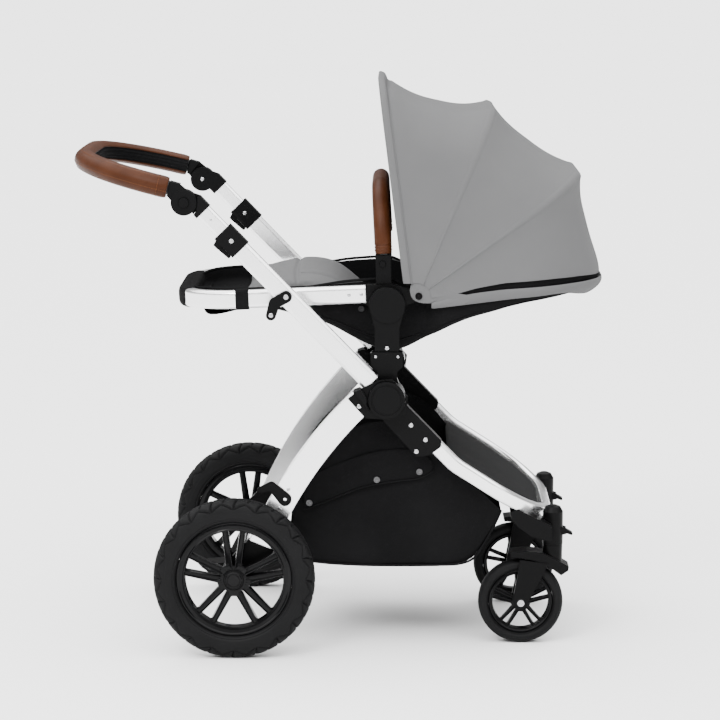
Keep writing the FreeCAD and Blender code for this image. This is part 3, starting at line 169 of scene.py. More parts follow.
def clothFinish(name, look, uv=True):
    s = clothLooks[look]
    cloth = Finish(name, Sheen_Weight=s["sheen"], Sheen_Roughness=0.5, Specular_IOR_Level=0.03)
    threads = weave(cloth, s["pitch"], uv)
    cloudy = cloth.ramp(cloth.noise(9, 3), 0.35, 0.65)
    fine = cloth.noise(900, 2)
    tone = cloudy * 0.45 + threads * 0.25 + fine * 0.3
    cloth.feed("Base Color", cloth.blendColours(tone, s["dark"], s["light"]))
    cloth.feed("Roughness", cloudy * 0.06 + (s["rough"] - 0.03))
    ripples = cloth.bump(cloth.noise(26, 3), s.get("ripple", 0.0012), 0.55)
    cloth.feed("Normal", cloth.bump(threads + fine * 0.5, s["depth"], 0.5, ripples))
    return cloth.material


def plasticFinish(name, colour, rough, grain=0.00006, edge=0.0011, shine=0.075):
    plastic = Finish(name, Specular_IOR_Level=shine)
    cloudy = plastic.ramp(plastic.noise(14, 4), 0.3, 0.7)
    speck = plastic.noise(1900, 2)
    worn = tuple(c * 1.5 for c in colour)
    plastic.feed("Base Color", plastic.blendColours(cloudy * 0.35 + speck * 0.3, colour, worn))
    plastic.feed("Roughness", cloudy * 0.08 + speck * 0.05 + (rough - 0.06))
    rounded = plastic.node("ShaderNodeBevel", {"samples": 4}, {"Radius": edge})
    plastic.feed("Normal", plastic.bump(speck, grain, 0.35, rounded))
    return plastic.material


def metalFinish(name, colour, rough, metal=1.0, edge=0.0009):
    skin = Finish(name)
    cloudy = skin.ramp(skin.noise(11, 3), 0.3, 0.7)
    fine = skin.noise(1500, 2)
    darker = tuple(c * 0.95 for c in colour)
    skin.feed("Base Color", skin.blendColours(cloudy * 0.6 + fine * 0.4, darker, colour))
    skin.feed("Metallic", cloudy * 0.02 + (metal - 0.02))
    skin.feed("Roughness", fine * 0.05 + cloudy * 0.04 + (rough - 0.05))
    skin.feed("Normal", skin.bump(fine, 0.00001, 0.2,
                                  skin.node("ShaderNodeBevel", {"samples": 4}, {"Radius": edge})))
    return skin.material


def leatherFinish(name):
    hide = Finish(name, Specular_IOR_Level=0.07, Coat_Roughness=0.35)
    grain = hide.node("ShaderNodeTexVoronoi", {"feature": "DISTANCE_TO_EDGE"},
                      {"Vector": hide.place(), "Scale": 720.0})
    creases = hide.ramp(grain, 0.0, 0.16)
    cloudy = hide.ramp(hide.noise(22, 4), 0.3, 0.7)
    pores = hide.noise(2400, 2)
    tone = cloudy * 0.55 + creases * 0.35 + pores * 0.1
    hide.feed("Base Color", hide.blendColours(tone, (0.024, 0.0070, 0.0022),
                                              (0.050, 0.0152, 0.0052)))
    hide.feed("Roughness", 0.50 - creases * 0.12 + cloudy * 0.05)
    hide.feed("Coat Weight", cloudy * 0.05 + 0.01)
    folds = hide.bump(hide.noise(70, 3), 0.0008, 0.35)
    hide.feed("Normal", hide.bump(creases, 0.00012, 0.5, folds))
    return hide.material


def rubberFinish(name):
    rubber = Finish(name, Specular_IOR_Level=0.09)
    cloudy = rubber.ramp(rubber.noise(18, 4), 0.3, 0.7)
    dust = rubber.noise(600, 3)
    tone = cloudy * 0.6 + dust * 0.4
    rubber.feed("Base Color", rubber.blendColours(tone, (0.0026, 0.0026, 0.0028),
                                                  (0.0060, 0.0060, 0.0063)))
    rubber.feed("Roughness", cloudy * 0.12 + dust * 0.08 + 0.52)
    rubber.feed("Normal", rubber.bump(dust, 0.0001, 0.4))
    return rubber.material


greyCloth = clothFinish("greyCloth", "grey")
greyLiner = clothFinish("greyLiner", "grey", uv=False)
blackCloth = clothFinish("blackCloth", "black")
charcoalCloth = clothFinish("charcoalCloth", "charcoal", uv=False)
tubeSilver = metalFinish("tubeSilver", (0.97, 0.97, 0.975), 0.24, 0.94, 0.003)
screwSteel = metalFinish("screwSteel", (0.46, 0.46, 0.47), 0.26)
agedSteel = metalFinish("agedSteel", (0.10, 0.10, 0.102), 0.35, 0.8)
darkTube = metalFinish("darkTube", (0.012, 0.012, 0.013), 0.4, 0.5)
mattBlack = plasticFinish("mattBlack", (0.0019, 0.0019, 0.0020), 0.40, shine=0.06)
glossBlack = plasticFinish("glossBlack", (0.0018, 0.0018, 0.0020), 0.15, 0.00002, 0.0008, 0.10)
bowGrey = plasticFinish("bowGrey", (0.05, 0.05, 0.051), 0.5)
tyreRubber = rubberFinish("tyreRubber")
tanHide = leatherFinish("tanHide")
threadTan = plasticFinish("threadTan", (0.105, 0.036, 0.013), 0.7, 0.00004, 0.0001)
print("finishes made")

slotFinish = {
    "frame_metal": tubeSilver, "black_plastic": mattBlack, "rim_plastic": glossBlack,
    "tyre_rubber": tyreRubber, "black_fabric": blackCloth, "grey_fabric": greyCloth,
    "tan_leather": tanHide, "dark_tube": darkTube, "bow_strip": bowGrey, "bright_steel": screwSteel,
}


def dressFrame():
    # every CAD node takes the finish of its record slot
    for part in frame["record"]["subparts"]:
        for place in nodes[part["node"]].material_slots:
            place.material = slotFinish[part["material_slot"]]


dressFrame()


# hand tools

def finishPiece(piece, finish, body, slot, *replaced):
    piece.data.materials.clear()
    piece.data.materials.append(finish)
    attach(piece, body)
    if replaced:
        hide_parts(*replaced)
    return piece


def only(*pieces):
    bpy.ops.object.select_all(action="DESELECT")
    for piece in pieces:
        piece.select_set(True)
    bpy.context.view_layer.objects.active = pieces[0]


def modified(piece, kind, **settings):
    # one modifier, set and applied
    only(piece)
    modifier = piece.modifiers.new(kind.lower(), kind)
    for key, value in settings.items():
        setattr(modifier, key, value)
    bpy.ops.object.modifier_apply(modifier=modifier.name)
    return piece


def settle(piece, angle=32):
    # apply what is left on the piece and shade it
    only(piece)
    bpy.ops.object.transform_apply(location=True, rotation=True, scale=True)
    for modifier in list(piece.modifiers):
        bpy.ops.object.modifier_apply(modifier=modifier.name)
    bpy.ops.object.shade_smooth_by_angle(angle=math.radians(angle))
    return piece


def joined(name, pieces):
    only(*pieces)
    if len(pieces) > 1:
        bpy.ops.object.join()
    pieces[0].name = name
    return pieces[0]


acrossMirror = Matrix.Scale(-1, 4, (0, 1, 0))


def copied(piece, matrix):
    # a copy moved by a matrix; a mirrored one has its faces turned back out
    twin = piece.copy()
    twin.data = piece.data.copy()
    bpy.context.collection.objects.link(twin)
    twin.data.transform(matrix)
    if matrix.determinant() < 0:
        twin.data.flip_normals()
    return twin


def finishPair(right, finish, body, slot, *replaced):
    # a right-hand piece and its mirrored twin, under the left-hand names
    left = copied(right, acrossMirror)
    left.name = right.name.replace("Right", "Left")
    finishPiece(right, finish, body, slot, *replaced)
    finishPiece(left, finish, body.replace("_right", "_left"), slot,
                *[node.replace("_right", "_left") for node in replaced])
    return right, left


def metres(profile):
    return [(a / 1000, b / 1000) for a, b in profile]


def turned(name, profile, centre, steps, axis=(0, -1, 0), start=(0, 0, 1)):
    # a profile (along the axis, from the axis) pulled out vertex by vertex and spun
    axis, start = Vector(axis).normalized(), Vector(start).normalized()
    points = [centre + axis * along + start * away for along, away in profile]
    bpy.ops.mesh.primitive_plane_add(size=0.001, location=points[0])
    piece = bpy.context.active_object
    piece.name = name
    bpy.ops.object.transform_apply(location=True, rotation=True, scale=True)
    bpy.ops.object.mode_set(mode="EDIT")
    bpy.ops.mesh.select_mode(type="VERT")
    bpy.ops.mesh.select_all(action="SELECT")
    bpy.ops.mesh.merge(type="CENTER")
    for before, after in zip(points, points[1:]):
        bpy.ops.mesh.extrude_vertices_move(TRANSFORM_OT_translate={"value": after - before})
    bpy.ops.mesh.select_all(action="SELECT")
    bpy.ops.mesh.spin(steps=steps, angle=2 * math.pi, center=centre, axis=axis)
    bpy.ops.mesh.select_all(action="SELECT")
    bpy.ops.mesh.remove_doubles(threshold=0.00002)
    bpy.ops.mesh.normals_make_consistent(inside=False)
    bpy.ops.object.mode_set(mode="OBJECT")
    return piece


def meshPiece(name, corners, faces):
    mesh = bpy.data.meshes.new(name)
    mesh.from_pydata(corners, [], faces)
    piece = bpy.data.objects.new(name, mesh)
    bpy.context.collection.objects.link(piece)
    return piece


def clothGrid(name, rows, closed=False):
    # a sheet through rows of points, with a UV map in metres so that the weave keeps its size
    count = len(rows[0])
    wide = count if closed else count - 1
    faces = []
    for i in range(len(rows) - 1):
        for j in range(wide):
            k = (j + 1) % count
            faces.append((i * count + j, i * count + k, (i + 1) * count + k, (i + 1) * count + j))
    piece = meshPiece(name, [p for row in rows for p in row], faces)
    along = [distances(row + row[:1]) for row in rows]
    down = [[0.0] * (count + 1)]
    for above, row in zip(rows, rows[1:]):
        down.append([down[-1][j] + (row[j % count] - above[j % count]).length
                     for j in range(count + 1)])
    layer = piece.data.uv_layers.new(name="cut")
    turn = 0
    for i in range(len(rows) - 1):
        for j in range(wide):
            for di, dj in ((0, 0), (0, 1), (1, 1), (1, 0)):
                layer.data[turn].uv = (along[i + di][j + dj], down[i + di][j + dj])
                turn += 1
    return piece


def clothArea(piece):
    return sum(p.area for p in piece.data.polygons)


def thicken(piece, thick, levels=1):
    wall = piece.modifiers.new("wall", "SOLIDIFY")
    wall.thickness = thick
    wall.offset = -1.0
    if levels:
        smooth = piece.modifiers.new("smooth", "SUBSURF")
        smooth.levels = smooth.render_levels = levels
    return settle(piece, 50)


def declareSheet(piece, area, length):
    # the flat piece that the cloth is cut from: its area over a chosen length
    print("sheet", piece.name, "flat", round(area / length, 3), "x", length)


def faceAway(piece, centre):
    # single-layer cloth: its outer face looks away from a point inside
    total = sum((p.center - centre).dot(p.normal) * p.area for p in piece.data.polygons)
    if total < 0:
        piece.data.flip_normals()
    return piece


def distances(path):
    # how far along the path each point lies
    run = [0.0]
    for a, b in zip(path, path[1:]):
        run.append(run[-1] + (b - a).length)
    return run


def headings(path):
    # the direction of travel at each point
    last = len(path) - 1
    return [(path[min(last, i + 1)] - path[max(0, i - 1)]).normalized() for i in range(last + 1)]


def hump(value, middle, width):
    return math.exp(-((value - middle) / width) ** 2)


def squarer(value, power):
    # a sine or cosine bent so that a circle turns into a rounded square
    return math.copysign(abs(value) ** (2 / power), value)


def ringPoint(middle, out, up, radius, turn):
    return middle + out * (radius * math.cos(turn)) + up * (radius * math.sin(turn))


def roundedRun(points, radii, straight=8, bend=8):
    # straight runs joined by arcs, with the same number of points each time
    corners = [Vector(p) for p in points]
    run, start = [], corners[0]
    for i, radius in enumerate(radii, start=1):
        here = corners[i]
        back, on = (corners[i - 1] - here).normalized(), (corners[i + 1] - here).normalized()
        half = back.angle(on) / 2
        cut = radius / math.tan(half)
        first, last = here + back * cut, here + on * cut
        middle = here + (back + on).normalized() * (radius / math.sin(half))
        run += [start.lerp(first, k / straight) for k in range(straight)]
        sweep = math.pi - 2 * half
        a, b = first - middle, last - middle
        for k in range(bend):
            t = k / bend
            run.append(middle + (a * math.sin((1 - t) * sweep) + b * math.sin(t * sweep))
                       / math.sin(sweep))
        start = last
    run += [start.lerp(corners[-1], k / straight) for k in range(straight + 1)]
    return run


def smoothLine(points, share):
    # Catmull-Rom through a few points
    out = []
    for i in range(len(points) - 1):
        a, b, c = points[max(0, i - 1)], points[i], points[i + 1]
        d = points[min(len(points) - 1, i + 2)]
        for k in range(share):
            t = k / share
            out.append(0.5 * ((2 * b) + (c - a) * t + (2 * a - 5 * b + 4 * c - d) * t * t
                              + (3 * b - a - 3 * c + d) * t ** 3))
    return out + [points[-1]]


def sweptTube(name, path, up, section):
    # rings of a section (across, up) carried along a path
    rows = []
    for point, heading in zip(path, headings(path)):
        across = heading.cross(up).normalized()
        high = across.cross(heading).normalized()
        rows.append([point + across * a + high * h for a, h in section])
    return clothGrid(name, rows, closed=True)


def ringSection(wide, high, count=24, power=2.0):
    turns = [2 * math.pi * k / count for k in range(count)]
    return [(wide / 2 * squarer(math.cos(t), power), high / 2 * squarer(math.sin(t), power))
            for t in turns]


def selectOpenEdges(piece):
    only(piece)
    bpy.ops.object.mode_set(mode="EDIT")
    bpy.ops.mesh.select_all(action="DESELECT")
    bpy.ops.mesh.select_mode(type="EDGE")
    bpy.ops.mesh.select_non_manifold()


def closeEnds(piece):
    selectOpenEdges(piece)
    bpy.ops.mesh.edge_face_add()
    bpy.ops.mesh.select_all(action="SELECT")
    bpy.ops.mesh.normals_make_consistent(inside=False)
    bpy.ops.object.mode_set(mode="OBJECT")
    return piece


def cord(name, path, radius, sides=10, up=Vector((0, 0, 1))):
    # piping that is sewn down along its whole length
    tube = sweptTube(name, path, up, ringSection(2 * radius, 2 * radius, sides))
    return settle(closeEnds(tube), 60)


def evenly(path, step):
    # points at a fixed step along a path, with the direction there
    out, left = [], 0.0
    for a, b in zip(path, path[1:]):
        length = (b - a).length
        while left < length:
            out.append((a.lerp(b, left / length), (b - a).normalized()))
            left += step
        left -= length
    return out


def awayFrom(path, p):
    return p - min(path, key=lambda q: (q - p).length)


stitch = dict(pitch=0.0042, length=0.0029, radius=0.00042, lift=0.0002)


def stitched(name, lines, bar, body):
    # rows of thread stitches on a covered bar: one small lozenge, copied
    s = stitch
    corners, faces = [], []
    for line in lines:
        for point, heading in evenly(line, s["pitch"]):
            up = awayFrom(bar, point).normalized()
            side = heading.cross(up).normalized()
            base = len(corners)
            for along, size in ((-0.5, 0.25), (-0.25, 1.0), (0.25, 1.0), (0.5, 0.25)):
                for a, h in ((1, 0), (0, 1), (-1, 0), (0, -0.6)):
                    corners.append(point + up * s["lift"] + heading * along * s["length"]
                                   + (side * a + up * h) * s["radius"] * size)
            for ring in range(base, base + 12, 4):
                for k in range(4):
                    n = (k + 1) % 4
                    faces.append((ring + k, ring + 4 + k, ring + 4 + n, ring + n))
            faces.append((base, base + 1, base + 2, base + 3))
            faces.append((base + 15, base + 14, base + 13, base + 12))
    piece = meshPiece(name, corners, faces)
    only(piece)
    bpy.ops.object.mode_set(mode="EDIT")
    bpy.ops.mesh.select_all(action="SELECT")
    bpy.ops.mesh.remove_doubles(threshold=0.00002)
    bpy.ops.mesh.normals_make_consistent(inside=False)
    bpy.ops.object.mode_set(mode="OBJECT")
    return finishPiece(settle(piece, 60), threadTan, body, "tan_leather")


def block(name, size, place, soft):
    # a box with rounded edges
    bpy.ops.mesh.primitive_cube_add(size=1, location=place)
    piece = bpy.context.active_object
    piece.name = name
    piece.scale = size
    edges = piece.modifiers.new("soft", "BEVEL")
    edges.width, edges.segments = soft, 3
    return settle(piece)


# canopy

canopy = dict(pivot=(57, 646), half=215, topHalf=200, low=22, corner=105, tailCorner=160,
              mouthAngle=97.3, mouthShift=25.4, frontReach=385, seamBack=15.5, seamReach=371,
              middleAngle=68.0, middleReach=354, rearAngle=35.7, rearReach=359, tailReach=332,
              tailAngle=6.0, sideSag=0.020, cloth=0.0016, rows=28, give=0.16, land=0.024)
canopyPivot = spot(canopy["pivot"][0], 0, canopy["pivot"][1])
# heights of the zip's two edges and of the hem's lower edge, along the seat
zipTop = ((60, 640), (119, 648.5), (160, 660), (209, 669), (298, 675), (350, 676), (383, 673),
          (400, 672))
zipLow = ((60, 630), (119, 645), (160, 652), (209, 658), (326, 665), (383, 667), (400, 667))
hemLow = ((60, 620), (115, 626), (231, 640), (297, 645), (335, 645), (378, 636), (400, 632))


def heightAt(table, x):
    for (x0, z0), (x1, z1) in zip(table, table[1:]):
        if x <= x1:
            t = max(0.0, (x - x0) / (x1 - x0))
            return z0 + (z1 - z0) * t
    return table[-1][1]


def archOutline(reach, corner, shrink=0.0):
    s = canopy
    half, top = s["half"] - shrink, s["topHalf"] - shrink
    points = [(-half, s["low"], 0), (-top, reach, 0), (top, reach, 0), (half, s["low"], 0)]
    return roundedRun(points, [corner, corner], straight=14, bend=14)


def archInPlane(reach, angle, corner, shift=0.0, shrink=0.0):
    turn = math.radians(angle)
    base = canopyPivot - Vector((shift / 1000, 0, 0))
    out = Vector((math.cos(turn), 0, math.sin(turn)))
    return [base + out * (p.y / 1000) + Vector((0, p.x / 1000, 0))
            for p in archOutline(reach, corner, shrink)]


def tailRow(table, reach, shrink=0.0):
    # the arch laid down as the canopy's lower edge, at the heights of a table
    row = []
    for p in archOutline(reach, canopy["tailCorner"], shrink):
        x = canopy["pivot"][0] + p.y
        row.append(spot(x, p.x, heightAt(table, x)))
    return row


def polarRow(row):
    found = []
    for p in row:
        x, z = p.x - canopyPivot.x, p.z - canopyPivot.z
        found.append((math.atan2(z, x), math.hypot(x, z), p.y))
    return found


def goreRow(first, second, v, sag, skew):
    # one line of the cloth between two arches: flat over the bows, drawn in between them
    s = canopy
    free = min(1.0, max(0.0, (v - s["land"]) / (1 - 2 * s["land"])))
    dip = 1 - abs(2 * free ** skew - 1) ** 2.5
    row = []
    for (t0, r0, y0), (t1, r1, y1) in zip(polarRow(first), polarRow(second)):
        turn, reach = t0 + (t1 - t0) * v, r0 + (r1 - r0) * v
        high = min(1.0, reach / 0.30) ** 1.5
        reach *= 1 - sag * dip * high
        across = (y0 + (y1 - y0) * v) * (1 - s["sideSag"] * dip * min(1.0, reach / 0.16))
        row.append(canopyPivot + Vector((reach * math.cos(turn), across, reach * math.sin(turn))))
    return row


def sleeve(name, behind, ahead, body):
    # channel sewn over a bow: a narrow band that lies on the cloth of both sides
    before = [goreRow(*behind[:2], v, *behind[2:]) for v in (0.945, 0.96, 0.975, 0.99)]
    after = [goreRow(*ahead[:2], v, *ahead[2:]) for v in (0.0, 0.012, 0.026, 0.042, 0.056)]
    lifts = (-0.2, 0.5, 0.9, 1.15, 1.3, 1.15, 0.9, 0.5, -0.2)
    rows = []
    for row, lift in zip(before + after, lifts):
        line = []
        for point, heading in zip(row, headings(row)):
            out = point - canopyPivot
            up = heading.cross(Vector((-out.z, 0, out.x)).normalized()).normalized()
            line.append(point + (up if up.dot(out) >= 0 else -up) * lift / 1000)
        rows.append(line)
    piece = faceAway(clothGrid(name, rows), canopyPivot)
    area = clothArea(piece)
    thicken(piece, 0.0008, 0)
    finishPiece(piece, greyCloth, body, "grey_fabric")
    declareSheet(piece, area, 1.0)


def makeGores():
    s = canopy
    seam = archInPlane(s["seamReach"], s["mouthAngle"], s["corner"] - 8,
                       s["mouthShift"] - s["seamBack"])
    middle = archInPlane(s["middleReach"], s["middleAngle"], s["corner"])
    rear = archInPlane(s["rearReach"], s["rearAngle"], s["corner"] + 10)
    tail = tailRow(zipTop, s["tailReach"])
    # name, lower arch, upper arch, sag, skew, node, bodies, angles of the two bows
    gores = (("canopyFrontGore", middle, seam, 0.084, 1.0, "canopy_panel_front",
              ("bow_middle", "bow_front"), (s["middleAngle"], 98.0)),
             ("canopyMiddleGore", rear, middle, 0.074, 1.0, "canopy_panel_middle",
              ("bow_rear", "bow_middle"), (s["rearAngle"], s["middleAngle"])),
             ("canopyRearGore", tail, rear, 0.052, 1.35, "canopy_panel_rear",
              ("seat", "bow_rear"), (s["tailAngle"], s["rearAngle"])))
    for name, first, second, sag, skew, node, bodies, angles in gores:
        rows = [goreRow(first, second, i / s["rows"], sag, skew) for i in range(s["rows"] + 1)]
        piece = faceAway(clothGrid(name, rows), canopyPivot)
        area = clothArea(piece)
        thicken(piece, s["cloth"], 0)
        piece.data.materials.append(greyCloth)
        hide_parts(node)
        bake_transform(piece)
        declareSheet(piece, area, 0.86)
    front, centre, back = [gore[1:5] for gore in gores]
    sleeve("middleBowSleeve", centre, front, "bow_middle")
    sleeve("rearBowSleeve", back, centre, "bow_rear")
    print("canopy gores made")
    return seam


def makeBrim(seam):
    # padded brim: the front edge, round it and back to the first seam
    s = canopy
    front = archInPlane(s["frontReach"], s["mouthAngle"], s["corner"], s["mouthShift"])
    inner = archInPlane(s["frontReach"] - 3, s["mouthAngle"], s["corner"], s["mouthShift"] - 1, 4)
    lining = archInPlane(s["seamReach"] - 8, s["mouthAngle"], s["corner"] - 8,
                         s["mouthShift"] - s["seamBack"] + 2, 5)
    rims = []
    # share of the way back to the seam, height everywhere, and more height towards the top
    for share, base, extra in ((0.06, 2.0, 1.2), (0.2, 3.0, 3.2), (0.5, 3.2, 6.4), (0.78, 3.0, 8.4),
                               (0.92, 1.4, 6.6)):
        rim = []
        for a, b in zip(front, seam):
            away = a - canopyPivot
            high = min(1.0, math.hypot(away.x, away.z) / 0.38) ** 3
            rim.append(a.lerp(b, share) + away.normalized() * (base + extra * high) / 1000)
        rims.append(rim)
    brim = faceAway(clothGrid("canopyBrim", [lining, inner, front] + rims + [seam]), canopyPivot)
    finishPiece(thicken(brim, 0.0012), greyCloth, "bow_front", "grey_fabric")
    groove = [p + (p - canopyPivot).normalized() * 0.0008 for p in seam]
    piping = cord("brimPiping", groove, 0.0011, 8, Vector((1, 0, 0)))
    finishPiece(piping, greyCloth, "bow_front", "grey_fabric")
    print("canopy brim made")


makeBrim(makeGores())

hem = dict(reach=337, shrink=0.5, bulge=(0, 2.2, 3.0, 2.8, 1.8, 0), tuck=(0, 1, 4, 9, 16, 25),
           inset=4.0, cloth=0.0022, tapeCloth=0.0010)


def makeHem():
    # grey skirt below the zip, and the dark zip tape above it
    s = hem
    inside = spot(200, 0, 655)
    top = tailRow(zipLow, s["reach"], s["shrink"])
    low = tailRow(hemLow, s["reach"], s["shrink"] + 3)
    rows = []
    for k, (bulge, tuck) in enumerate(zip(s["bulge"], s["tuck"])):
        line = []
        for a, b in zip(top, low):
            out = Vector((a.x - canopyPivot.x, a.y, 0)).normalized()
            tail = min(1.0, max(0.0, (a.x - canopyPivot.x - 0.18) / 0.14)) ** 2
            line.append(a.lerp(b, k / 5) + out * (bulge - tuck * tail) / 1000)
        rows.append(line)
    skirt = faceAway(clothGrid("canopySkirt", rows), inside)
    area = clothArea(skirt)
    finishPiece(thicken(skirt, s["cloth"]), greyCloth, "seat", "grey_fabric")
    declareSheet(skirt, area, 0.95)

    high, deep = [tailRow(table, s["reach"] - 6, s["inset"]) for table in (zipTop, zipLow)]
    up = Vector((0, 0, 0.005))
    rows = [[p + up for p in high], [a.lerp(b, 0.5) for a, b in zip(high, deep)],
            [p - up for p in deep]]
    tape = faceAway(clothGrid("canopyZipTape", rows), inside)
    area = clothArea(tape)
    finishPiece(thicken(tape, s["tapeCloth"], 0), blackCloth, "seat", "black_fabric")
    declareSheet(tape, area, 0.95)
    print("canopy hem made")


makeHem()

lobe = dict(centre=(84, 650), side=211.5, cloth=0.0016, hole=0.4, flat=(0.112, 0.050), cut=0.00559,
            outline=((38, 668), (41.5, 643), (50, 636), (64.7, 631.6), (80, 633), (92, 634.5),
                     (102.4, 626), (114.9, 627), (130, 629), (150, 632), (150, 652), (119, 648),
                     (100, 664), (78, 672), (56, 676)),
            rings=((1.0, 0), (0.97, 1.1), (0.9, 1.8), (0.6, 2.2), (0.2, 2.4)))


def fillHole(piece, share):
    # close the inner hole of a ring of cloth: its open edges within a share of the ring's size
    mesh = bmesh.new()
    mesh.from_mesh(piece.data)
    centre = sum((v.co for v in mesh.verts), Vector()) / len(mesh.verts)
    size = max((v.co - centre).length for v in mesh.verts)
    inner = [e for e in mesh.edges if e.is_boundary
             and all((v.co - centre).length < size * share for v in e.verts)]
    bmesh.ops.contextual_create(mesh, geom=inner)
    mesh.to_mesh(piece.data)
    mesh.free()


def makeLobes():
    # the side lobes round the canopy's studs
    s = lobe
    ahead, level = s["centre"]
    rows = [[spot(ahead + (x - ahead) * scale, -(s["side"] + bulge), level + (z - level) * scale)
             for x, z in s["outline"]] for scale, bulge in s["rings"]]
    right = clothGrid("canopyLobeRight", rows, closed=True)
    fillHole(right, s["hole"])
    faceAway(right, spot(ahead, 0, level))
    thicken(right, s["cloth"])
    for piece in finishPair(right, greyCloth, "seat", "grey_fabric"):
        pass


makeLobes()


# seat

tub = dict(ends=(-352, 372), stations=56, around=40, cloth=0.0024, power=6.5, narrow=176.2,
           wide=203.0, footCorner=99.0, headCorner=138.0, binding=0.0026, seam=0.0013,
           rim=((-352, 646), (-330, 650.5), (-240, 653), (-140, 656), (-75, 667), (-20, 671),
                (12, 670), (52, 650), (90, 645), (300, 656), (372, 662)),
           belly=((-352, 632), (-335, 619), (-262, 617), (-210, 613), (-165, 604), (-100, 580),
                  (-40, 547), (-14, 534), (20, 532), (40, 542), (70, 560), (110, 581), (155, 602),
                  (250, 630), (335, 646), (372, 654)))


def smoothAt(table, x):
    # height along a table of (x, z), with the corners eased; takes one x or many
    places, heights = zip(*table)
    return sum(np.interp(np.asarray(x) + d, places, heights) for d in (-6, -3, 0, 3, 6)) / 5


def tubHalf(x, inset=0.0):
    # half width of the seat inside the rail and, behind the hubs, inside the canopy's skirt
    s = tub
    foot, head = s["ends"]
    x = np.asarray(x)
    full = s["narrow"] + (s["wide"] - s["narrow"]) * np.clip((x - 74) / 16, 0, 1) ** 2
    half = full
    for end, corner, side in ((foot, s["footCorner"], 1), (head, s["headCorner"], -1)):
        short = corner - np.minimum((x - end) * side, corner)
        half = np.minimum(half, full - corner + np.sqrt(np.maximum(0.0, corner ** 2 - short ** 2)))
    return np.maximum(2.0, half - inset)


def tubSection(x):
    # a squared U from the right-hand rim under the seat to the left-hand rim
    s = tub
    top, low, half = smoothAt(s["rim"], x), smoothAt(s["belly"], x), tubHalf(x)
    row = []
    for k in range(s["around"] + 1):
        turn = math.pi * k / s["around"]
        row.append(spot(x, -half * squarer(math.cos(turn), s["power"]),
                        top - (top - low) * squarer(math.sin(turn), s["power"])))
    return row


def stationsOf(first, last, count):
    # closer together towards both ends, where the outline turns
    return [first + (last - first) * (1 - math.cos(math.pi * k / count)) / 2
            for k in range(count + 1)]


def makeTub():
    s = tub
    foot, head = s["ends"]
    rows = [tubSection(x) for x in stationsOf(foot + 0.6, head - 0.6, s["stations"])]
    shell = clothGrid("seatTub", rows)
    for v in shell.data.vertices:
        x = (v.co.x - foldPivot.x) * 1000
        ripple = (0.0010 * math.sin(x * 0.055 + v.co.y * 30)
                  + 0.0007 * math.sin(x * 0.021 - v.co.z * 70))
        below = smoothAt(s["rim"], x) / 1000 - v.co.z
        v.co.z += ripple * min(1.0, max(0.0, below / 0.03))
    faceAway(shell, spot(0, 0, 640))
    area = clothArea(shell)
    finishPiece(thicken(shell, s["cloth"]), blackCloth, "seat", "black_fabric", "seat_shell")
    declareSheet(shell, area, 0.80)

    # binding along the rim, and seams down the belly
    for side, k in (("Right", 0), ("Left", -1)):
        line = [tubSection(x)[k] + Vector((0, 0, 0.0012))
                for x in stationsOf(foot + 1, head - 1, 60)]
        binding = cord("tubBinding" + side, line, s["binding"])
        finishPiece(binding, blackCloth, "seat", "black_fabric")
    for side, k in (("Right", 6), ("Left", s["around"] - 6)):
        line = [tubSection(x)[k] for x in stationsOf(foot + 12, head - 12, 60)]
        line = [p + Vector((0, math.copysign(0.0006, p.y), -0.0008)) for p in line]
        seam = cord("tubSeam" + side, line, s["seam"], 8)
        finishPiece(seam, blackCloth, "seat", "black_fabric")
    print("seat tub made, area", round(area, 3))


makeTub()

liner = dict(
    leg=dict(name="legCushion", span=(-262, 8), inset=10, voxel=0.005,
             top=((-262, 640), (-252, 650), (-235, 657), (-200, 668), (-170, 675), (-146, 678),
                  (-120, 676), (-96, 668), (-76, 654), (-50, 630), (-20, 600), (8, 578))),
    back=dict(name="backCushion", span=(12, 356), inset=12, voxel=0.006,
              top=((12, 578), (30, 590), (60, 606), (90, 622), (160, 641), (236, 656), (320, 672),
                   (345, 673), (356, 668))))
padding = dict(power=3.0, crown=2.6, around=36, stations=34, puff=0.9, cap=0.007, margin=4.5,
               seamDepth=0.0042, seamWidth=0.0045, frames=20, pressure=4, stiffness=15)


def padShape(s):
    # closed form between the tub's floor and the top line, with drawn-in corners
    p = padding
    rows = []
    xs = stationsOf(*s["span"], p["stations"])
    for i, x in enumerate(xs):
        low, top = smoothAt(tub["belly"], x) + 5, smoothAt(s["top"], x)
        half = tubHalf(x, s["inset"])
        ends = min(1.0, (i + 0.35) / 4, (len(xs) - 0.65 - i) / 4) ** 0.5
        middle, tall = (low + top) / 2, max(6.0, (top - low) / 2) * ends
        row = []
        for k in range(p["around"]):
            turn = 2 * math.pi * k / p["around"]
            wide = half * (0.97 if math.sin(turn) < 0 else 1.0) * ends ** 0.25
            row.append(spot(x, wide * squarer(math.cos(turn), p["power"]),
                            middle + tall * squarer(math.sin(turn), p["crown"])))
        rows.append(row)
    return closeEnds(clothGrid(s["name"], rows, closed=True))


def setPoints(piece, points):
    for v, co in zip(piece.data.vertices, points):
        v.co = co


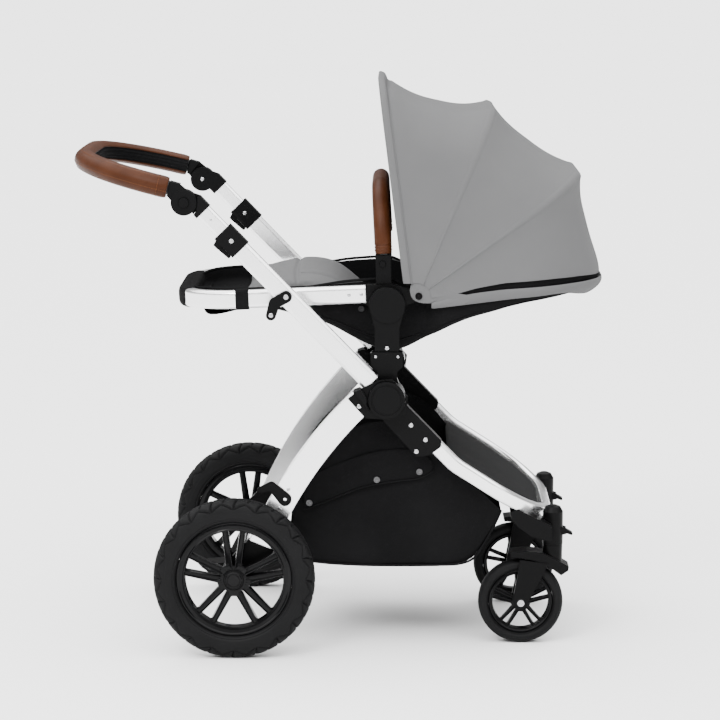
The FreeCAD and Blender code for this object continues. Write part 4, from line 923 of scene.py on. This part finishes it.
def inflated(pad, voxel):
    # voxel remesh, then cloth under pressure, held within a cap
    p = padding
    modified(pad, "REMESH", mode="VOXEL", voxel_size=voxel)
    rest = np.array([v.co for v in pad.data.vertices])
    cloth = pad.modifiers.new("puff", "CLOTH")
    cloth.settings.use_pressure = True
    cloth.settings.uniform_pressure_force = p["pressure"]
    cloth.settings.effector_weights.gravity = 0
    cloth.settings.quality = 5
    cloth.settings.tension_stiffness = cloth.settings.compression_stiffness = p["stiffness"]
    cloth.point_cache.frame_start, cloth.point_cache.frame_end = 1, p["frames"]
    for step in range(1, p["frames"] + 1):
        bpy.context.scene.frame_set(step)
    seen = pad.evaluated_get(bpy.context.evaluated_depsgraph_get())
    moved = np.array([v.co for v in seen.data.vertices])
    pad.modifiers.remove(cloth)
    bpy.context.scene.frame_set(1)
    shift = (moved - rest) * p["puff"]
    reach = np.linalg.norm(shift, axis=1, keepdims=True)
    setPoints(pad, rest + shift * np.minimum(1.0, p["cap"] / np.maximum(reach, 1e-9)))
    return pad


def channelled(pad, seams, depth, width):
    # sewn channels: the surface drops along each seam, which gives the distance of points from it
    points, normals = np.array([(*v.co, *v.normal) for v in pad.data.vertices]).T.reshape(2, 3, -1)
    sink = sum(np.exp(-(seam(*points) / width) ** 2) for seam in seams)
    setPoints(pad, (points - normals * depth * np.minimum(1.2, sink)).T)


def keepInside(pad, margin):
    # nothing of the pad passes through the tub's wall or floor
    power = tub["power"]
    x, y, z = np.array([v.co for v in pad.data.vertices]).T
    ahead = (x - foldPivot.x) * 1000
    half = tubHalf(ahead) / 1000
    y = np.clip(y, margin / 1000 - half, half - margin / 1000)
    low = smoothAt(tub["belly"], ahead) + 3.5
    across = np.minimum(1.0, np.abs(y) / half)
    rise = (smoothAt(tub["rim"], ahead) - low) * (1 - (1 - across ** power) ** (1 / power))
    setPoints(pad, np.array([x, y, np.maximum(z, (low + rise) / 1000)]).T)


# a seam runs where its distance is nil; the second term ends it
knee = foldPivot.x - 0.155
sewn = dict(
    leg=[lambda x, y, z: np.abs(x - knee + 0.25 * (z - 0.64)) + 9 * (z < 0.6),
         lambda x, y, z: np.abs(np.abs(y) - 0.118) + 9 * (x < knee)],
    back=[lambda x, y, z: np.abs(np.abs(y) - 0.105)]
    + [lambda x, y, z, d=d: np.abs(x - foldPivot.x - d) + 9 * (np.abs(y) > 0.105)
       for d in (0.10, 0.19, 0.27)])


def makeLiner():
    for key, replaced in (("leg", ["seat_cushion"]), ("back", [])):
        s = liner[key]
        pad = inflated(padShape(s), s["voxel"])
        modified(pad, "SUBSURF", levels=1, render_levels=1)
        channelled(pad, sewn[key], padding["seamDepth"], padding["seamWidth"])
        keepInside(pad, padding["margin"])
        finishPiece(settle(pad, 60), greyLiner, "seat", "grey_fabric", *replaced)
        print(s["name"], "made,", len(pad.data.polygons), "faces")


makeLiner()

rail = dict(hub=(0.5, 630.5), rise=16.0, slope=math.radians(2.5), start=-38.3, reach=370, half=188,
            corner=110, strapX=-259.5, strapWide=24, sleeveHalf=0.130)
railUp = Vector((-math.sin(rail["slope"]), 0, math.cos(rail["slope"])))


def railLine():
    # the rail's middle line, from the right-hand hub round the foot end
    s = rail
    near, far = s["hub"][0] + s["start"], s["hub"][0] - s["reach"]
    high = s["hub"][1] + s["rise"]
    low = high - (s["start"] + s["reach"]) * math.tan(s["slope"])
    points = [(near, -s["half"], high), (far, -s["half"], low), (far, s["half"], low),
              (near, s["half"], high)]
    return [spot(*p) for p in roundedRun(points, [s["corner"]] * 2, straight=24, bend=16)]


def heightOn(path, x):
    a, b = sorted(path, key=lambda p: abs(p.x - x))[:2]
    return a.z + (b.z - a.z) * (x - a.x) / (b.x - a.x) if abs(b.x - a.x) > 1e-6 else a.z


def sewnBand(name, path, wide, high, thick):
    # webbing or a fabric sleeve wrapped round the rail
    skin = sweptTube(name, path, railUp, ringSection(wide + 2 * thick, high + 2 * thick, 28, 3.4))
    bore = sweptTube(name + "Bore", path, railUp, ringSection(wide, high, 28, 3.4))
    bore.data.flip_normals()
    band = joined(name, [skin, bore])
    selectOpenEdges(band)
    bpy.ops.mesh.bridge_edge_loops()
    bpy.ops.object.mode_set(mode="OBJECT")
    finishPiece(settle(band, 50), blackCloth, "seat", "black_fabric")


calf = dict(half=150, bow=2.0, cloth=0.003, length=0.30,
            fall=((-336, 629), (-334, 618), (-330, 606), (-322, 601), (-296, 606), (-270, 614),
                  (-250, 617), (-246, 622)))


def makeSeatTrims():
    s = rail
    line = railLine()
    for name, sign in (("railStrapRight", -1), ("railStrapLeft", 1)):
        near = [p for p in line if p.y * sign > 0.186]
        level = spot(s["strapX"], sign * s["half"], 0)
        steps = [t * s["strapWide"] / 1000 for t in (-0.5, -0.25, 0, 0.25, 0.5)]
        path = [level + Vector((step, 0, heightOn(near, level.x + step))) for step in steps]
        sewnBand(name, path, 0.0228, 0.0342, 0.0018)
    foot = [p for p in line if abs(p.y) < s["sleeveHalf"]]
    sewnBand("footSleeve", foot, 0.0224, 0.0336, 0.0012)

    # short flap that hangs under the foot end of the rail
    s = calf
    places = [s["half"] * (k / 12 - 1) for k in range(25)]
    rows = [[spot(x, y, z + s["bow"] * math.sin(k) * (y / s["half"]) ** 2) for y in places]
            for k, (x, z) in enumerate(s["fall"])]
    flap = clothGrid("calfFlap", rows)
    area = clothArea(flap)
    faceAway(flap, spot(-290, 0, 640))
    finishPiece(thicken(flap, s["cloth"]), blackCloth, "seat", "black_fabric")
    declareSheet(flap, area, s["length"])
    print("seat trims made")


makeSeatTrims()


# basket and footwell

# the bag's side panels run between an upper and a lower edge, both from the back to the front
bag = dict(half=188.5, cloth=0.0022, round=34, steps=12, across=15, piping=0.0021,
           lower=((-168, 266), (-170, 250), (-173, 222), (-175, 194), (-176, 170), (-160, 157),
                  (-110, 150), (-60, 147), (-21, 146), (50, 146), (100, 147), (132, 149),
                  (156, 158), (172, 178), (185, 201), (198, 226), (208, 249)),
           upper=((-168, 268), (-168, 269), (-168, 270), (-168, 271), (-168, 272), (-160, 300),
                  (-146, 328), (-124, 356), (-94, 384), (-58, 406), (-14, 417), (28, 412),
                  (54, 400), (78, 384), (98, 364), (113, 341), (207, 252)),
           board=(0.112, 0.30, 0.004), boardSpot=(24, 0, 140.0), boardEdge=0.0015)


def bagRow(lower, upper):
    # down the right-hand wall, under the floor and up the left-hand wall, sagging on the way
    s = bag
    (xl, zl), (xu, zu) = lower, upper
    wall = []
    for k in range(s["steps"] + 1):
        t = k / s["steps"]
        sag = 5.0 * math.sin(math.pi * t) * min(1.0, (zu - zl) / 120)
        wall.append((xu + (xl - xu) * t, -(s["half"] - sag * 0.5), zu + (zl - zu) * t))
    floor = []
    for k in range(1, s["across"]):
        y = -s["half"] + 2 * s["half"] * k / s["across"]
        near = min(1.0, (s["half"] - abs(y)) / s["round"])
        sag = 3.0 * min(1.0, max(0.0, (270 - zl) / 60))
        floor.append((xl, y, zl - 1.5 * near - sag * (1 - (y / s["half"]) ** 2)))
    return [spot(*p) for p in wall + floor + [(x, -y, z) for x, y, z in wall[::-1]]]


def makeBasket():
    # bag with a piped bottom edge and a stiff board sewn into its floor
    s = bag
    rows = [bagRow(lower, upper) for lower, upper in zip(s["lower"], s["upper"])]
    shell = faceAway(clothGrid("basketBag", rows), spot(0, 0, 260))
    area = clothArea(shell)
    modified(shell, "SUBSURF", levels=1, render_levels=1)
    for v in shell.data.vertices:
        if abs(v.co.y) > 0.175:
            x, z = (v.co.x - foldPivot.x) * 1000, v.co.z * 1000
            v.co.y += math.copysign(1, v.co.y) * (0.0011 * math.sin(x * 0.05 + z * 0.018)
                                                  + 0.0008 * math.sin(x * 0.017 - z * 0.06))
    thicken(shell, s["cloth"], 0)
    finishPiece(shell, blackCloth, "chassis", "black_fabric", "basket_bag")
    declareSheet(shell, area, 1.00)

    edge = smoothLine([spot(x, -(s["half"] - 2.6), z + 2.4) for x, z in s["lower"][4:]], 6)
    piping = cord("basketPipingRight", edge, s["piping"], 10, Vector((0, 1, 0)))
    finishPair(piping, blackCloth, "chassis", "black_fabric")
    board = block("basketBoard", s["board"], spot(*s["boardSpot"]), s["boardEdge"])
    finishPiece(board, blackCloth, "chassis", "black_fabric")
    print("basket made, area", round(area, 3))


makeBasket()

sideFlap = dict(upper=((-150, 305), (-112, 327), (-60, 348), (0, 363), (58, 362), (84, 338)),
                lower=((-150, 252), (-100, 272), (-40, 295), (20, 306), (58, 311), (84, 324)),
                studs=((-140.2, 265), (-17.8, 308), (59.2, 323)), gap=2.2, wave=1.2, flare=1.2,
                cloth=0.0018, hem=0.0016, length=0.25)


def makeFlaps():
    # a flap over the top of each side of the basket, held by studs
    s = sideFlap
    upper, lower = [smoothLine([Vector((x, 0, z)) for x, z in s[key]], 5)
                    for key in ("upper", "lower")]
    rows = []
    for k in range(9):
        t = k / 8
        row = []
        for i, (a, b) in enumerate(zip(upper, lower)):
            p = a.lerp(b, t)
            wave = s["wave"] * math.sin(i * 0.55 + 3 * t) * math.sin(math.pi * t)
            row.append(spot(p.x, -(bag["half"] + s["gap"] + wave + s["flare"] * t), p.z))
        rows.append(row)
    right = faceAway(clothGrid("basketFlapRight", rows), spot(0, 0, 300))
    thicken(right, s["cloth"])
    for piece in finishPair(right, blackCloth, "chassis", "black_fabric"):
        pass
    edge = [p + Vector((0, -0.0012, 0)) for p in rows[-1]]
    finishPair(cord("flapHemRight", edge, s["hem"], 8, Vector((0, 1, 0))), blackCloth, "chassis",
               "black_fabric")


makeFlaps()

footPad = dict(half=202.6, back=110, front=279.5, shoulder=231, nose=117, slope=math.radians(32.5),
               corners=(99.8, 139.8, 139.8, 99.8), centre=196, level=(122, 340),
               crown=((1.0, -3.6), (1.0, 0.4), (0.992, 2.2), (0.975, 3.4), (0.93, 4.8), (0.8, 6.2),
                      (0.55, 7.6), (0.25, 8.2), (0.06, 8.4)))


def makeFootPad():
    # a crowned mat over the plate between the front tubes
    s = footPad
    flat = [(s["back"], -s["half"]), (s["shoulder"], -s["half"]), (s["front"], -s["nose"])]
    flat += [(x, -y) for x, y in flat[::-1]]
    rim = roundedRun([(x, y, 0) for x, y in flat], s["corners"], straight=8, bend=10)
    centre = Vector((s["centre"], 0, 0))
    up = Vector((math.sin(s["slope"]), 0, math.cos(s["slope"])))
    rows = []
    for share, rise in s["crown"]:
        row = []
        for p in rim:
            q = centre.lerp(p, share)
            z = s["level"][1] - (q.x - s["level"][0]) * math.tan(s["slope"])
            row.append(spot(q.x, q.y, z) + up * (rise / 1000))
        rows.append(row)
    mat = closeEnds(clothGrid("footwellMat", rows, closed=True))
    modified(mat, "SUBSURF", levels=1, render_levels=1)
    finishPiece(settle(mat, 45), charcoalCloth, "chassis", "black_fabric", "footwell_panel")
    print("footwell mat made")


makeFootPad()


# leather

handle = dict(turn=math.radians(45.9), pivot=464.5, tilt=(-13, 502), clamp=(0, 398))
grip = dict(turn=math.radians(13.5), half=237, rise=18.2, start=34, reach=201, corner=165,
            outer=39.0, bar=24.2, leather=0.0026, strip=0.0022, opening=141, lip=136, stripHalf=42,
            stitchRow=math.radians(54), outerSeam=0.30, cuff=0.018, cuffTurn=134)


def handleSpot(x, along, y):
    # in the handle's own axes: square to the tube, along it, across the stroller
    c, s = math.cos(handle["turn"]), math.sin(handle["turn"])
    there = x * Vector((s, 0, c)) + along * Vector((-c, 0, s))
    return spot(0, y, handle["pivot"]) + 0.001 * there


tiltPoint = handleSpot(*handle["tilt"], 0)
gripAhead = Vector((math.cos(grip["turn"]), 0, -math.sin(grip["turn"])))
gripUp = Vector((math.sin(grip["turn"]), 0, math.cos(grip["turn"])))


def gripLine():
    s = grip
    points = [(-s["start"], -s["half"], 0), (-s["reach"], -s["half"], 0),
              (-s["reach"], s["half"], 0), (-s["start"], s["half"], 0)]
    return [tiltPoint + (gripAhead * p.x + Vector((0, p.y, 0)) + gripUp * s["rise"]) / 1000
            for p in roundedRun(points, [s["corner"]] * 2, straight=8, bend=40)]


def outOfLoop(path):
    # at each point, the direction away from the inside of the handle's loop
    inside = (path[0] + path[-1]) / 2 + gripAhead * -0.08
    outs = []
    for point, heading in zip(path, headings(path)):
        out = gripUp.cross(heading).normalized()
        outs.append(-out if out.dot(inside - point) > 0 else out)
    return outs


def faceFromPath(piece, path):
    total = sum(awayFrom(path, p.center).dot(p.normal) * p.area
                for p in list(piece.data.polygons)[::7])
    if total < 0:
        piece.data.flip_normals()
    return piece


def makeGrip():
    s = grip
    path = gripLine()
    outs = outOfLoop(path)
    run = distances(path)
    radius = s["outer"] / 2000

    # the cover is open along the inside of the loop, with a raised cuff at each end
    rows = []
    for point, out, length in zip(path, outs, run):
        ends = min(length, run[-1] - length)
        r = radius + (0.0006 * hump(ends, 0.012, 0.003) - 0.0007 * hump(ends, 0.018, 0.0022)
                      - 0.0016 * hump(ends, 0, 0.0022))
        row = []
        for k in range(41):
            turn = s["opening"] * (k / 20 - 1)
            lip = 0.00048 * hump(abs(turn), s["lip"], 5)
            row.append(ringPoint(point, out, gripUp, r + lip, math.radians(turn)))
        rows.append(row)
    leather = faceFromPath(clothGrid("gripLeather", rows), path)
    thicken(leather, s["leather"])
    finishPiece(leather, tanHide, "handlebar", "tan_leather", "handle_grip")

    # ribbed strip along the inside of the loop
    rows = []
    for point, out in zip(path, outs):
        row = []
        for k in range(25):
            t = k / 12 - 1
            r = radius - 0.0022 + 0.0007 * math.cos(t * math.pi * 4)
            row.append(ringPoint(point, -out, gripUp, r, math.radians(s["stripHalf"] * t)))
        rows.append(row)
    strip = faceFromPath(clothGrid("gripInnerStrip", rows), path)
    finishPiece(thicken(strip, s["strip"], 0), blackCloth, "handlebar", "black_fabric")

    # foam core that fills the cover at its two ends
    bar, foam = s["bar"] / 2000, radius - 0.0028
    for name, index in (("gripEndRight", 1), ("gripEndLeft", -2)):
        disc = turned(name, [(0.0, bar), (0.0, foam), (0.004, foam), (0.004, bar), (0.0, bar)],
                      path[index], 40, gripAhead * -1, gripUp)
        finishPiece(settle(disc), mattBlack, "handlebar", "black_plastic")

    # stitches: a row by each lip, one along the outside, and a ring by each cuff
    lines = []
    for turn, skip in ((s["stitchRow"], 2), (-s["stitchRow"], 2), (-s["outerSeam"], 3)):
        lines.append([ringPoint(point, out, gripUp, radius + 0.0003, turn)
                      for point, out in list(zip(path, outs))[skip:-skip]])
    stitched("gripStitches", lines, path, "handlebar")
    cuffs = []
    for base, onward, side in ((path[0], path[1], -1), (path[-1], path[-2], 1)):
        middle = base + (onward - base).normalized() * s["cuff"]
        cuffs.append([ringPoint(middle, Vector((0, side, 0)), gripUp, radius + 0.0001,
                                math.radians(s["cuffTurn"] * (k / 24 - 1))) for k in range(49)])
    stitched("gripCuffStitches", cuffs, path, "handlebar")
    print("handle grip made")


makeGrip()

bumper = dict(x=-6, base=719.5, top=833, half=188, lean=math.radians(3.3), corner=98,
              diameter=31.0, step=0.0028, cuff=0.05, grooves=(0.004, 0.0095, 0.015), seam=0.0008,
              stitchGap=0.0032, around=36)


def bumperLine():
    s = bumper
    peak = s["x"] - (s["top"] - s["base"]) * math.tan(s["lean"])
    points = [(s["x"], -s["half"], s["base"]), (peak, -s["half"] + 9, s["top"]),
              (peak, s["half"] - 9, s["top"]), (s["x"], s["half"], s["base"])]
    return [spot(*p) for p in roundedRun(points, [s["corner"]] * 2, straight=14, bend=24)]


def makeBumper():
    s = bumper
    coarse = bumperLine()
    path = []
    for a, b in zip(coarse, coarse[1:]):
        # finer steps by the two ends, where the cuffs are
        close = min((a - coarse[0]).length, (b - coarse[-1]).length) < s["cuff"]
        steps = max(1, round((b - a).length / s["step"])) if close else 1
        path += [a.lerp(b, k / steps) for k in range(steps)]
    path.append(coarse[-1])
    run = distances(path)
    across = Vector((math.cos(s["lean"]), 0, math.sin(s["lean"])))
    outs = [heading.cross(across).normalized() for heading in headings(path)]
    rows = []
    for point, out, length in zip(path, outs, run):
        ends = min(length, run[-1] - length)
        r = s["diameter"] / 2000 - sum(0.0015 * hump(ends, place, 0.0014) for place in s["grooves"])
        r += 0.0006 * math.exp(-(ends / 0.018) ** 4) - 0.0022 * hump(ends, 0, 0.0016)
        rows.append([ringPoint(point, across, out, r, 2 * math.pi * k / s["around"])
                     for k in range(s["around"])])
    leather = closeEnds(clothGrid("bumperLeather", rows, closed=True))
    finishPiece(settle(leather, 50), tanHide, "bumper", "tan_leather", "bumper_cover")

    # seam along the inside of the bow, with a row of stitches on both sides of it
    inside = (path[0] + path[-1]) / 2
    line = []
    for point, out in list(zip(path, outs))[2:-2]:
        inward = -out if out.dot(inside - point) < 0 else out
        line.append(point + inward * (s["diameter"] / 2000 + 0.0002))
    seam = cord("bumperSeam", line, s["seam"], 8, across)
    finishPiece(seam, tanHide, "bumper", "tan_leather")
    stitched("bumperStitches", [[p + across * gap for p in line]
                                for gap in (s["stitchGap"], -s["stitchGap"])], path, "bumper")
    print("bumper cover made")


makeBumper()


# wheels

rearWheel = dict(
    nodes="rear", radius=145, width=44, bead=104, around=640, step=1.4, lugs=20, groove=4.2,
    opening=88, barrel=14.3, hub=25, hubHalf=20, bore=5.3, root=(6.8, 15.0), tip=(16.5, 12.5),
    deep=15, pairs=5, cap=17, lid=15.0)
frontWheel = dict(
    nodes="front", radius=77.5, width=34, bead=59, around=240, step=2.6, lugs=0, groove=0.0,
    opening=51, barrel=11.0, hub=15, hubHalf=17.5, bore=4.3, root=(4.0, 8.6), tip=(8.2, 7.0),
    deep=10, pairs=5, cap=11.5, lid=0)
# from the bead to the crown: share of the half width, share of the wall's height
tyreWall = ((0.62, 0), (0.80, 0.04), (0.88, 0.10), (0.86, 0.13), (0.95, 0.20), (0.985, 0.32),
            (1.0, 0.44), (0.985, 0.50), (0.99, 0.53), (0.975, 0.60), (0.94, 0.68), (0.88, 0.76),
            (0.79, 0.84), (0.67, 0.905), (0.52, 0.955), (0.36, 0.982), (0.18, 0.996))


def tyreProfile(s):
    # a closed line round the tyre, with points no further apart than the wheel's step
    tall = s["radius"] - s["bead"]
    half = [(s["width"] / 2 * wide, s["bead"] + tall * high) for wide, high in tyreWall]
    coarse = half + [(0, s["radius"])] + [(-a, z) for a, z in half[::-1]]
    line = []
    for a, b in zip(coarse, coarse[1:]):
        n = max(1, round(math.hypot(b[0] - a[0], b[1] - a[1]) / s["step"]))
        line += [(a[0] + (b[0] - a[0]) * k / n, a[1] + (b[1] - a[1]) * k / n) for k in range(n)]
    return metres(line + [coarse[-1], coarse[0]])


def grooved(co, centre, s):
    # where a point of the tread lands once the pattern is cut: a zigzag line round each
    # shoulder, slanted cuts between the lugs, and two wavy lines along the crown
    d = co - centre
    away = math.hypot(d.x, d.z)
    tall, wide = s["radius"] - s["bead"], s["width"] / 2
    share = (away * 1000 - s["bead"]) / tall
    if share < 0.60:
        return co
    turn = math.atan2(d.z, d.x) / (2 * math.pi) * s["lugs"] + (0.5 if d.y > 0 else 0.0)
    turn -= math.floor(turn)
    across = abs(d.y * 1000 / wide)
    edge = 0.60 + 0.27 * (1 - abs(2 * turn - 1)) ** 0.8
    lugLength = 2 * math.pi * away * 1000 / s["lugs"]
    slant = turn + 0.22 * (1 - across)
    slant -= math.floor(slant)
    cuts = [9]
    if across > 0.3:
        cuts.append(abs(share - edge) * tall / 1.5)
    if share > edge:
        cuts.append(min(slant, 1 - slant) * lugLength / 1.7)
    if share > edge + 0.08:
        cuts.append(abs(slant - 0.5) * lugLength)
    if share > 0.9:
        cuts.append(abs(across * wide - 4.2 - 1.4 * math.cos(2 * math.pi * turn)))
    depth = s["groove"] * math.exp(-min(cuts) ** 2 / 1.1) / 1000
    if depth <= 1e-5:
        return co
    inward = Vector((-d.x / away, -0.55 * math.copysign(1, d.y) * min(1, across), -d.z / away))
    return co + inward.normalized() * depth


def makeTyre(s):
    key = s["nodes"]
    centre = middleOf(key + "_tyre_right")
    piece = turned(key + "TyreRight", tyreProfile(s), centre, s["around"])
    if s["lugs"]:
        setPoints(piece, [grooved(v.co, centre, s) for v in piece.data.vertices])
    finishPair(settle(piece, 35), tyreRubber, key + "_wheel_right", "tyre_rubber",
               key + "_tyre_right")


def spokeOf(name, s, sign):
    # one spoke of the top pair: a tapered bar with a channel sunk in its outer face
    bpy.ops.mesh.primitive_cube_add(size=1, location=(0, 0, 0))
    piece = bpy.context.active_object
    piece.name = name
    for v in piece.data.vertices:
        top, outer = v.co.z > 0, v.co.y < 0
        half, wide = s["tip"] if top else s["root"]
        wide *= 0.78 if outer else 1.0
        x = sign * half + (wide / 2 if v.co.x > 0 else -wide / 2)
        face = s["barrel"] * 0.86 if top else s["hubHalf"] * 0.92
        v.co = Vector((x, -face if outer else s["deep"] - face,
                       s["opening"] + 1.5 if top else s["hub"] * 0.72)) / 1000
    only(piece)
    bpy.ops.object.mode_set(mode="EDIT")
    bpy.ops.mesh.select_all(action="DESELECT")
    bpy.ops.object.mode_set(mode="OBJECT")
    for face in piece.data.polygons:
        face.select = face.normal.y < -0.7
    bpy.ops.object.mode_set(mode="EDIT")
    bpy.ops.mesh.inset(thickness=0.0016, depth=0)
    bpy.ops.mesh.inset(thickness=0.0007, depth=-0.0030)
    bpy.ops.mesh.select_all(action="SELECT")
    bpy.ops.mesh.normals_make_consistent(inside=False)
    bpy.ops.object.mode_set(mode="OBJECT")
    return modified(piece, "BEVEL", width=0.0006, segments=2, limit_method="ANGLE")


def makeRim(s):
    key = s["nodes"]
    name = key + "RimRight"
    centre = middleOf(key + "_tyre_right")
    w, b, o, h, f, c, lid = [s[k] for k in ("barrel", "bead", "opening", "hub", "hubHalf", "cap",
                                            "lid")]
    ring = [(-w, o + 2), (-w - 0.8, o + 5), (-w - 0.6, b - 2.5), (-w + 0.6, b - 0.3),
            (-w + 2.5, b - 0.2), (w - 2.5, b - 0.2), (w - 0.6, b - 0.3), (w + 0.6, b - 2.5),
            (w + 0.8, b - 4), (w - 0.9, b - 6), (w - 1.6, o + 4.5), (w - 0.3, o + 2.6),
            (w - 0.6, o + 1), (w - 2, o), (-w + 2, o), (-w, o + 2)]
    hub = [(-f, s["bore"]), (-f, h * 0.7), (-f + 2, h * 0.78), (-4, h * 0.86), (f * 0.45, h),
           (f * 0.86, h * 0.94), (f * 0.95, c + 1.6), (f * 0.90, c + 0.8), (f * 0.90, c),
           (f * 0.99, c - 0.5), (f, c - 1.5), (f, c * 0.72), (f - 0.7, c * 0.68),
           (f - 0.7, s["bore"]), (-f, s["bore"])]
    parts = [turned(name, metres(ring), centre, 120), turned(name + "Hub", metres(hub), centre, 60)]

    def placed(piece, k):
        # the piece at the k-th place round the wheel
        turn = Matrix.Rotation(2 * math.pi * k / s["pairs"], 4, "Y")
        parts.append(copied(piece, Matrix.Translation(centre) @ turn))

    for sign in (1, -1):
        spoke = spokeOf(name + "Spoke", s, sign)
        for k in range(s["pairs"]):
            placed(spoke, k)
        bpy.data.objects.remove(spoke)
    # ribs on the hub's outer face, between the pairs
    rib = block(name + "Rib", (h * 0.78 / 1000, 0.014, h * 0.42 / 1000),
                (0, -f * 0.55 / 1000, h * 0.98 / 1000), 0.0016)
    for k in range(s["pairs"]):
        placed(rib, k + 0.5)
    bpy.data.objects.remove(rib)
    if lid:
        # domed lid with a ring groove over the axle's end
        dome = [(-1.0, 0.0001), (-1.0, lid), (2.4, lid), (3.6, lid - 1.1), (3.8, lid - 2.8),
                (3.0, lid - 3.4), (3.0, lid - 4.2), (3.7, lid - 4.8), (4.1, lid * 0.35),
                (4.2, 0.0001)]
        parts.append(turned(name + "Lid", metres([(f + a, r) for a, r in dome]), centre, 48))
    finishPair(settle(joined(name, parts), 30), glossBlack, key + "_wheel_right", "rim_plastic",
               key + "_rim_right")


for wheel in (rearWheel, frontWheel):
    makeTyre(wheel)
print("tyres made")
for wheel in (rearWheel, frontWheel):
    makeRim(wheel)
print("rims made")


# studs and screws

# domed head with a cross recess; press stud with a rim, a dip and a button; both face -Y
headProfile = ((0, 4.2), (0.6, 4.2), (1.3, 3.4), (1.7, 2.0), (1.75, 0.9), (0.9, 0.8), (0.7, 0.01))
studProfile = ((0, 6.8), (1.2, 6.8), (2.0, 6.0), (1.8, 4.8), (0.9, 4.2), (0.9, 3.0), (2.1, 2.6),
               (2.6, 1.4), (2.7, 0.01))


def innerFace(node):
    # just inside the left-hand half of a node, in millimetres
    return min(v.co.y for v in nodes[node].data.vertices if v.co.y > 0.05) * 1000 + 0.3


def makeFixings():
    screw = settle(turned("screwPattern", metres(headProfile), Vector(), 28))
    stud = settle(turned("studPattern", metres(studProfile), Vector(), 32))
    steel, dark = (screwSteel, "bright_steel"), (darkTube, "dark_tube")
    flapFace = -(bag["half"] + 4.2)
    # name, pattern, size, places on the right-hand side, finish and slot, body
    groups = (
        ("basketStuds", stud, 0.85, [spot(x, flapFace, z) for x, z in sideFlap["studs"]],
         (agedSteel, "dark_tube"), "chassis"),
        ("wingScrews", screw, 0.95, [spot(-49.1, -250.6, 452.7)], steel, "rear_frame"),
        ("legScrews", screw, 0.8, [spot(-175.6, -246.6, 301), spot(-191, -246.6, 266.6)], steel,
         "rear_frame"),
        ("railRivets", screw, 0.75, [spot(-68, -198.8, 646), spot(-46, -198.8, 647)], steel,
         "seat"),
        ("seatStuds", stud, 0.8, [spot(-46, -178.2, 618.5)], dark, "seat"),
        ("armScrews", screw, 0.85, [spot(0.5, -221.3, 553)], steel, "seat_mount"),
        ("canopyStuds", stud, 0.95, [spot(56.9, -214.6, 646.1)], (mattBlack, "black_plastic"),
         "seat"),
        ("upperTubeScrews", screw, 0.7, [handleSpot(0, 447, -243.9)], steel, "handle_slider"),
        ("latchScrews", screw, 0.95, [spot(-205.4, -253.5, 616.3)], steel, "latch_right"),
        ("tiltInnerScrews", screw, 0.9, [handleSpot(*handle["tilt"], innerFace("tilt_housings"))],
         steel, "handle_slider"),
        ("clampInnerScrews", screw, 0.9, [handleSpot(*handle["clamp"], innerFace("tube_clamps"))],
         steel, "handle"))
    for name, pattern, size, places, (finish, slot), body in groups:
        copies = [copied(pattern, Matrix.Translation(p) @ Matrix.Scale(size, 4)) for p in places]
        if body == "latch_right":
            left = finishPair(settle(joined(name, copies)), finish, body, slot)[1]
            left.name = name + "Left"
        else:
            copies += [copied(c, acrossMirror) for c in copies]
            finishPiece(settle(joined(name, copies)), finish, body, slot)
    for pattern in (screw, stud):
        bpy.data.objects.remove(pattern)
    print("studs and screws made")


makeFixings()


# floor, light and camera

studio = dict(camera=(0.1118, -5.102, 1.284), pitch=8.76, yaw=-0.8, focal=138.16, sun=11.0,
              sunAngle=115, sunTilt=(6, -5, 0), world=0.4, floor=400,
              # name, place, size, power
              lamps=(("key", (-1.4, -3.0, 3.2), 1.1, 95), ("fill", (2.8, -3.2, 1.8), 1.6, 25)))


def added(name, data):
    thing = bpy.data.objects.new(name, data)
    bpy.context.collection.objects.link(thing)
    return thing


def degrees(*turns):
    return [math.radians(t) for t in turns]


def makeStudio():
    s = studio
    bpy.ops.mesh.primitive_plane_add(size=1, location=(0, 0, -0.0002))
    floor = bpy.context.active_object
    floor.name = "floor"
    floor.scale = (s["floor"], s["floor"], 1)
    bpy.ops.object.transform_apply(location=True, rotation=True, scale=True)
    paint = Finish("floorPaint", Roughness=0.9, Specular_IOR_Level=0.1)
    paint.feed("Base Color", paint.blendColours(paint.noise(0.4, 2), (0.86, 0.86, 0.86),
                                                (0.88, 0.88, 0.88)))
    floor.data.materials.append(paint.material)

    world = bpy.data.worlds.new("studio")
    bpy.context.scene.world = world
    world.use_nodes = True
    sky = world.node_tree.nodes["Background"]
    sky.inputs["Color"].default_value = (1, 1, 1, 1)
    sky.inputs["Strength"].default_value = s["world"]

    for name, place, size, power in s["lamps"]:
        lamp = bpy.data.lights.new(name, "AREA")
        lamp.size, lamp.energy = size, power
        thing = added(name, lamp)
        thing.location = place
        towards = Vector((0, 0, 0.5)) - Vector(place)
        thing.rotation_euler = towards.to_track_quat("-Z", "Y").to_euler()
    lamp = bpy.data.lights.new("overhead", "SUN")
    lamp.energy, lamp.angle = s["sun"], math.radians(s["sunAngle"])
    added("overhead", lamp).rotation_euler = degrees(*s["sunTilt"])

    eye = bpy.data.cameras.new("camera")
    eye.lens, eye.sensor_width, eye.clip_end = s["focal"], 36.0, 500
    camera = added("camera", eye)
    camera.location = s["camera"]
    camera.rotation_euler = degrees(90 - s["pitch"], 0, -s["yaw"])
    bpy.context.scene.camera = camera
    print("studio made")


makeStudio()
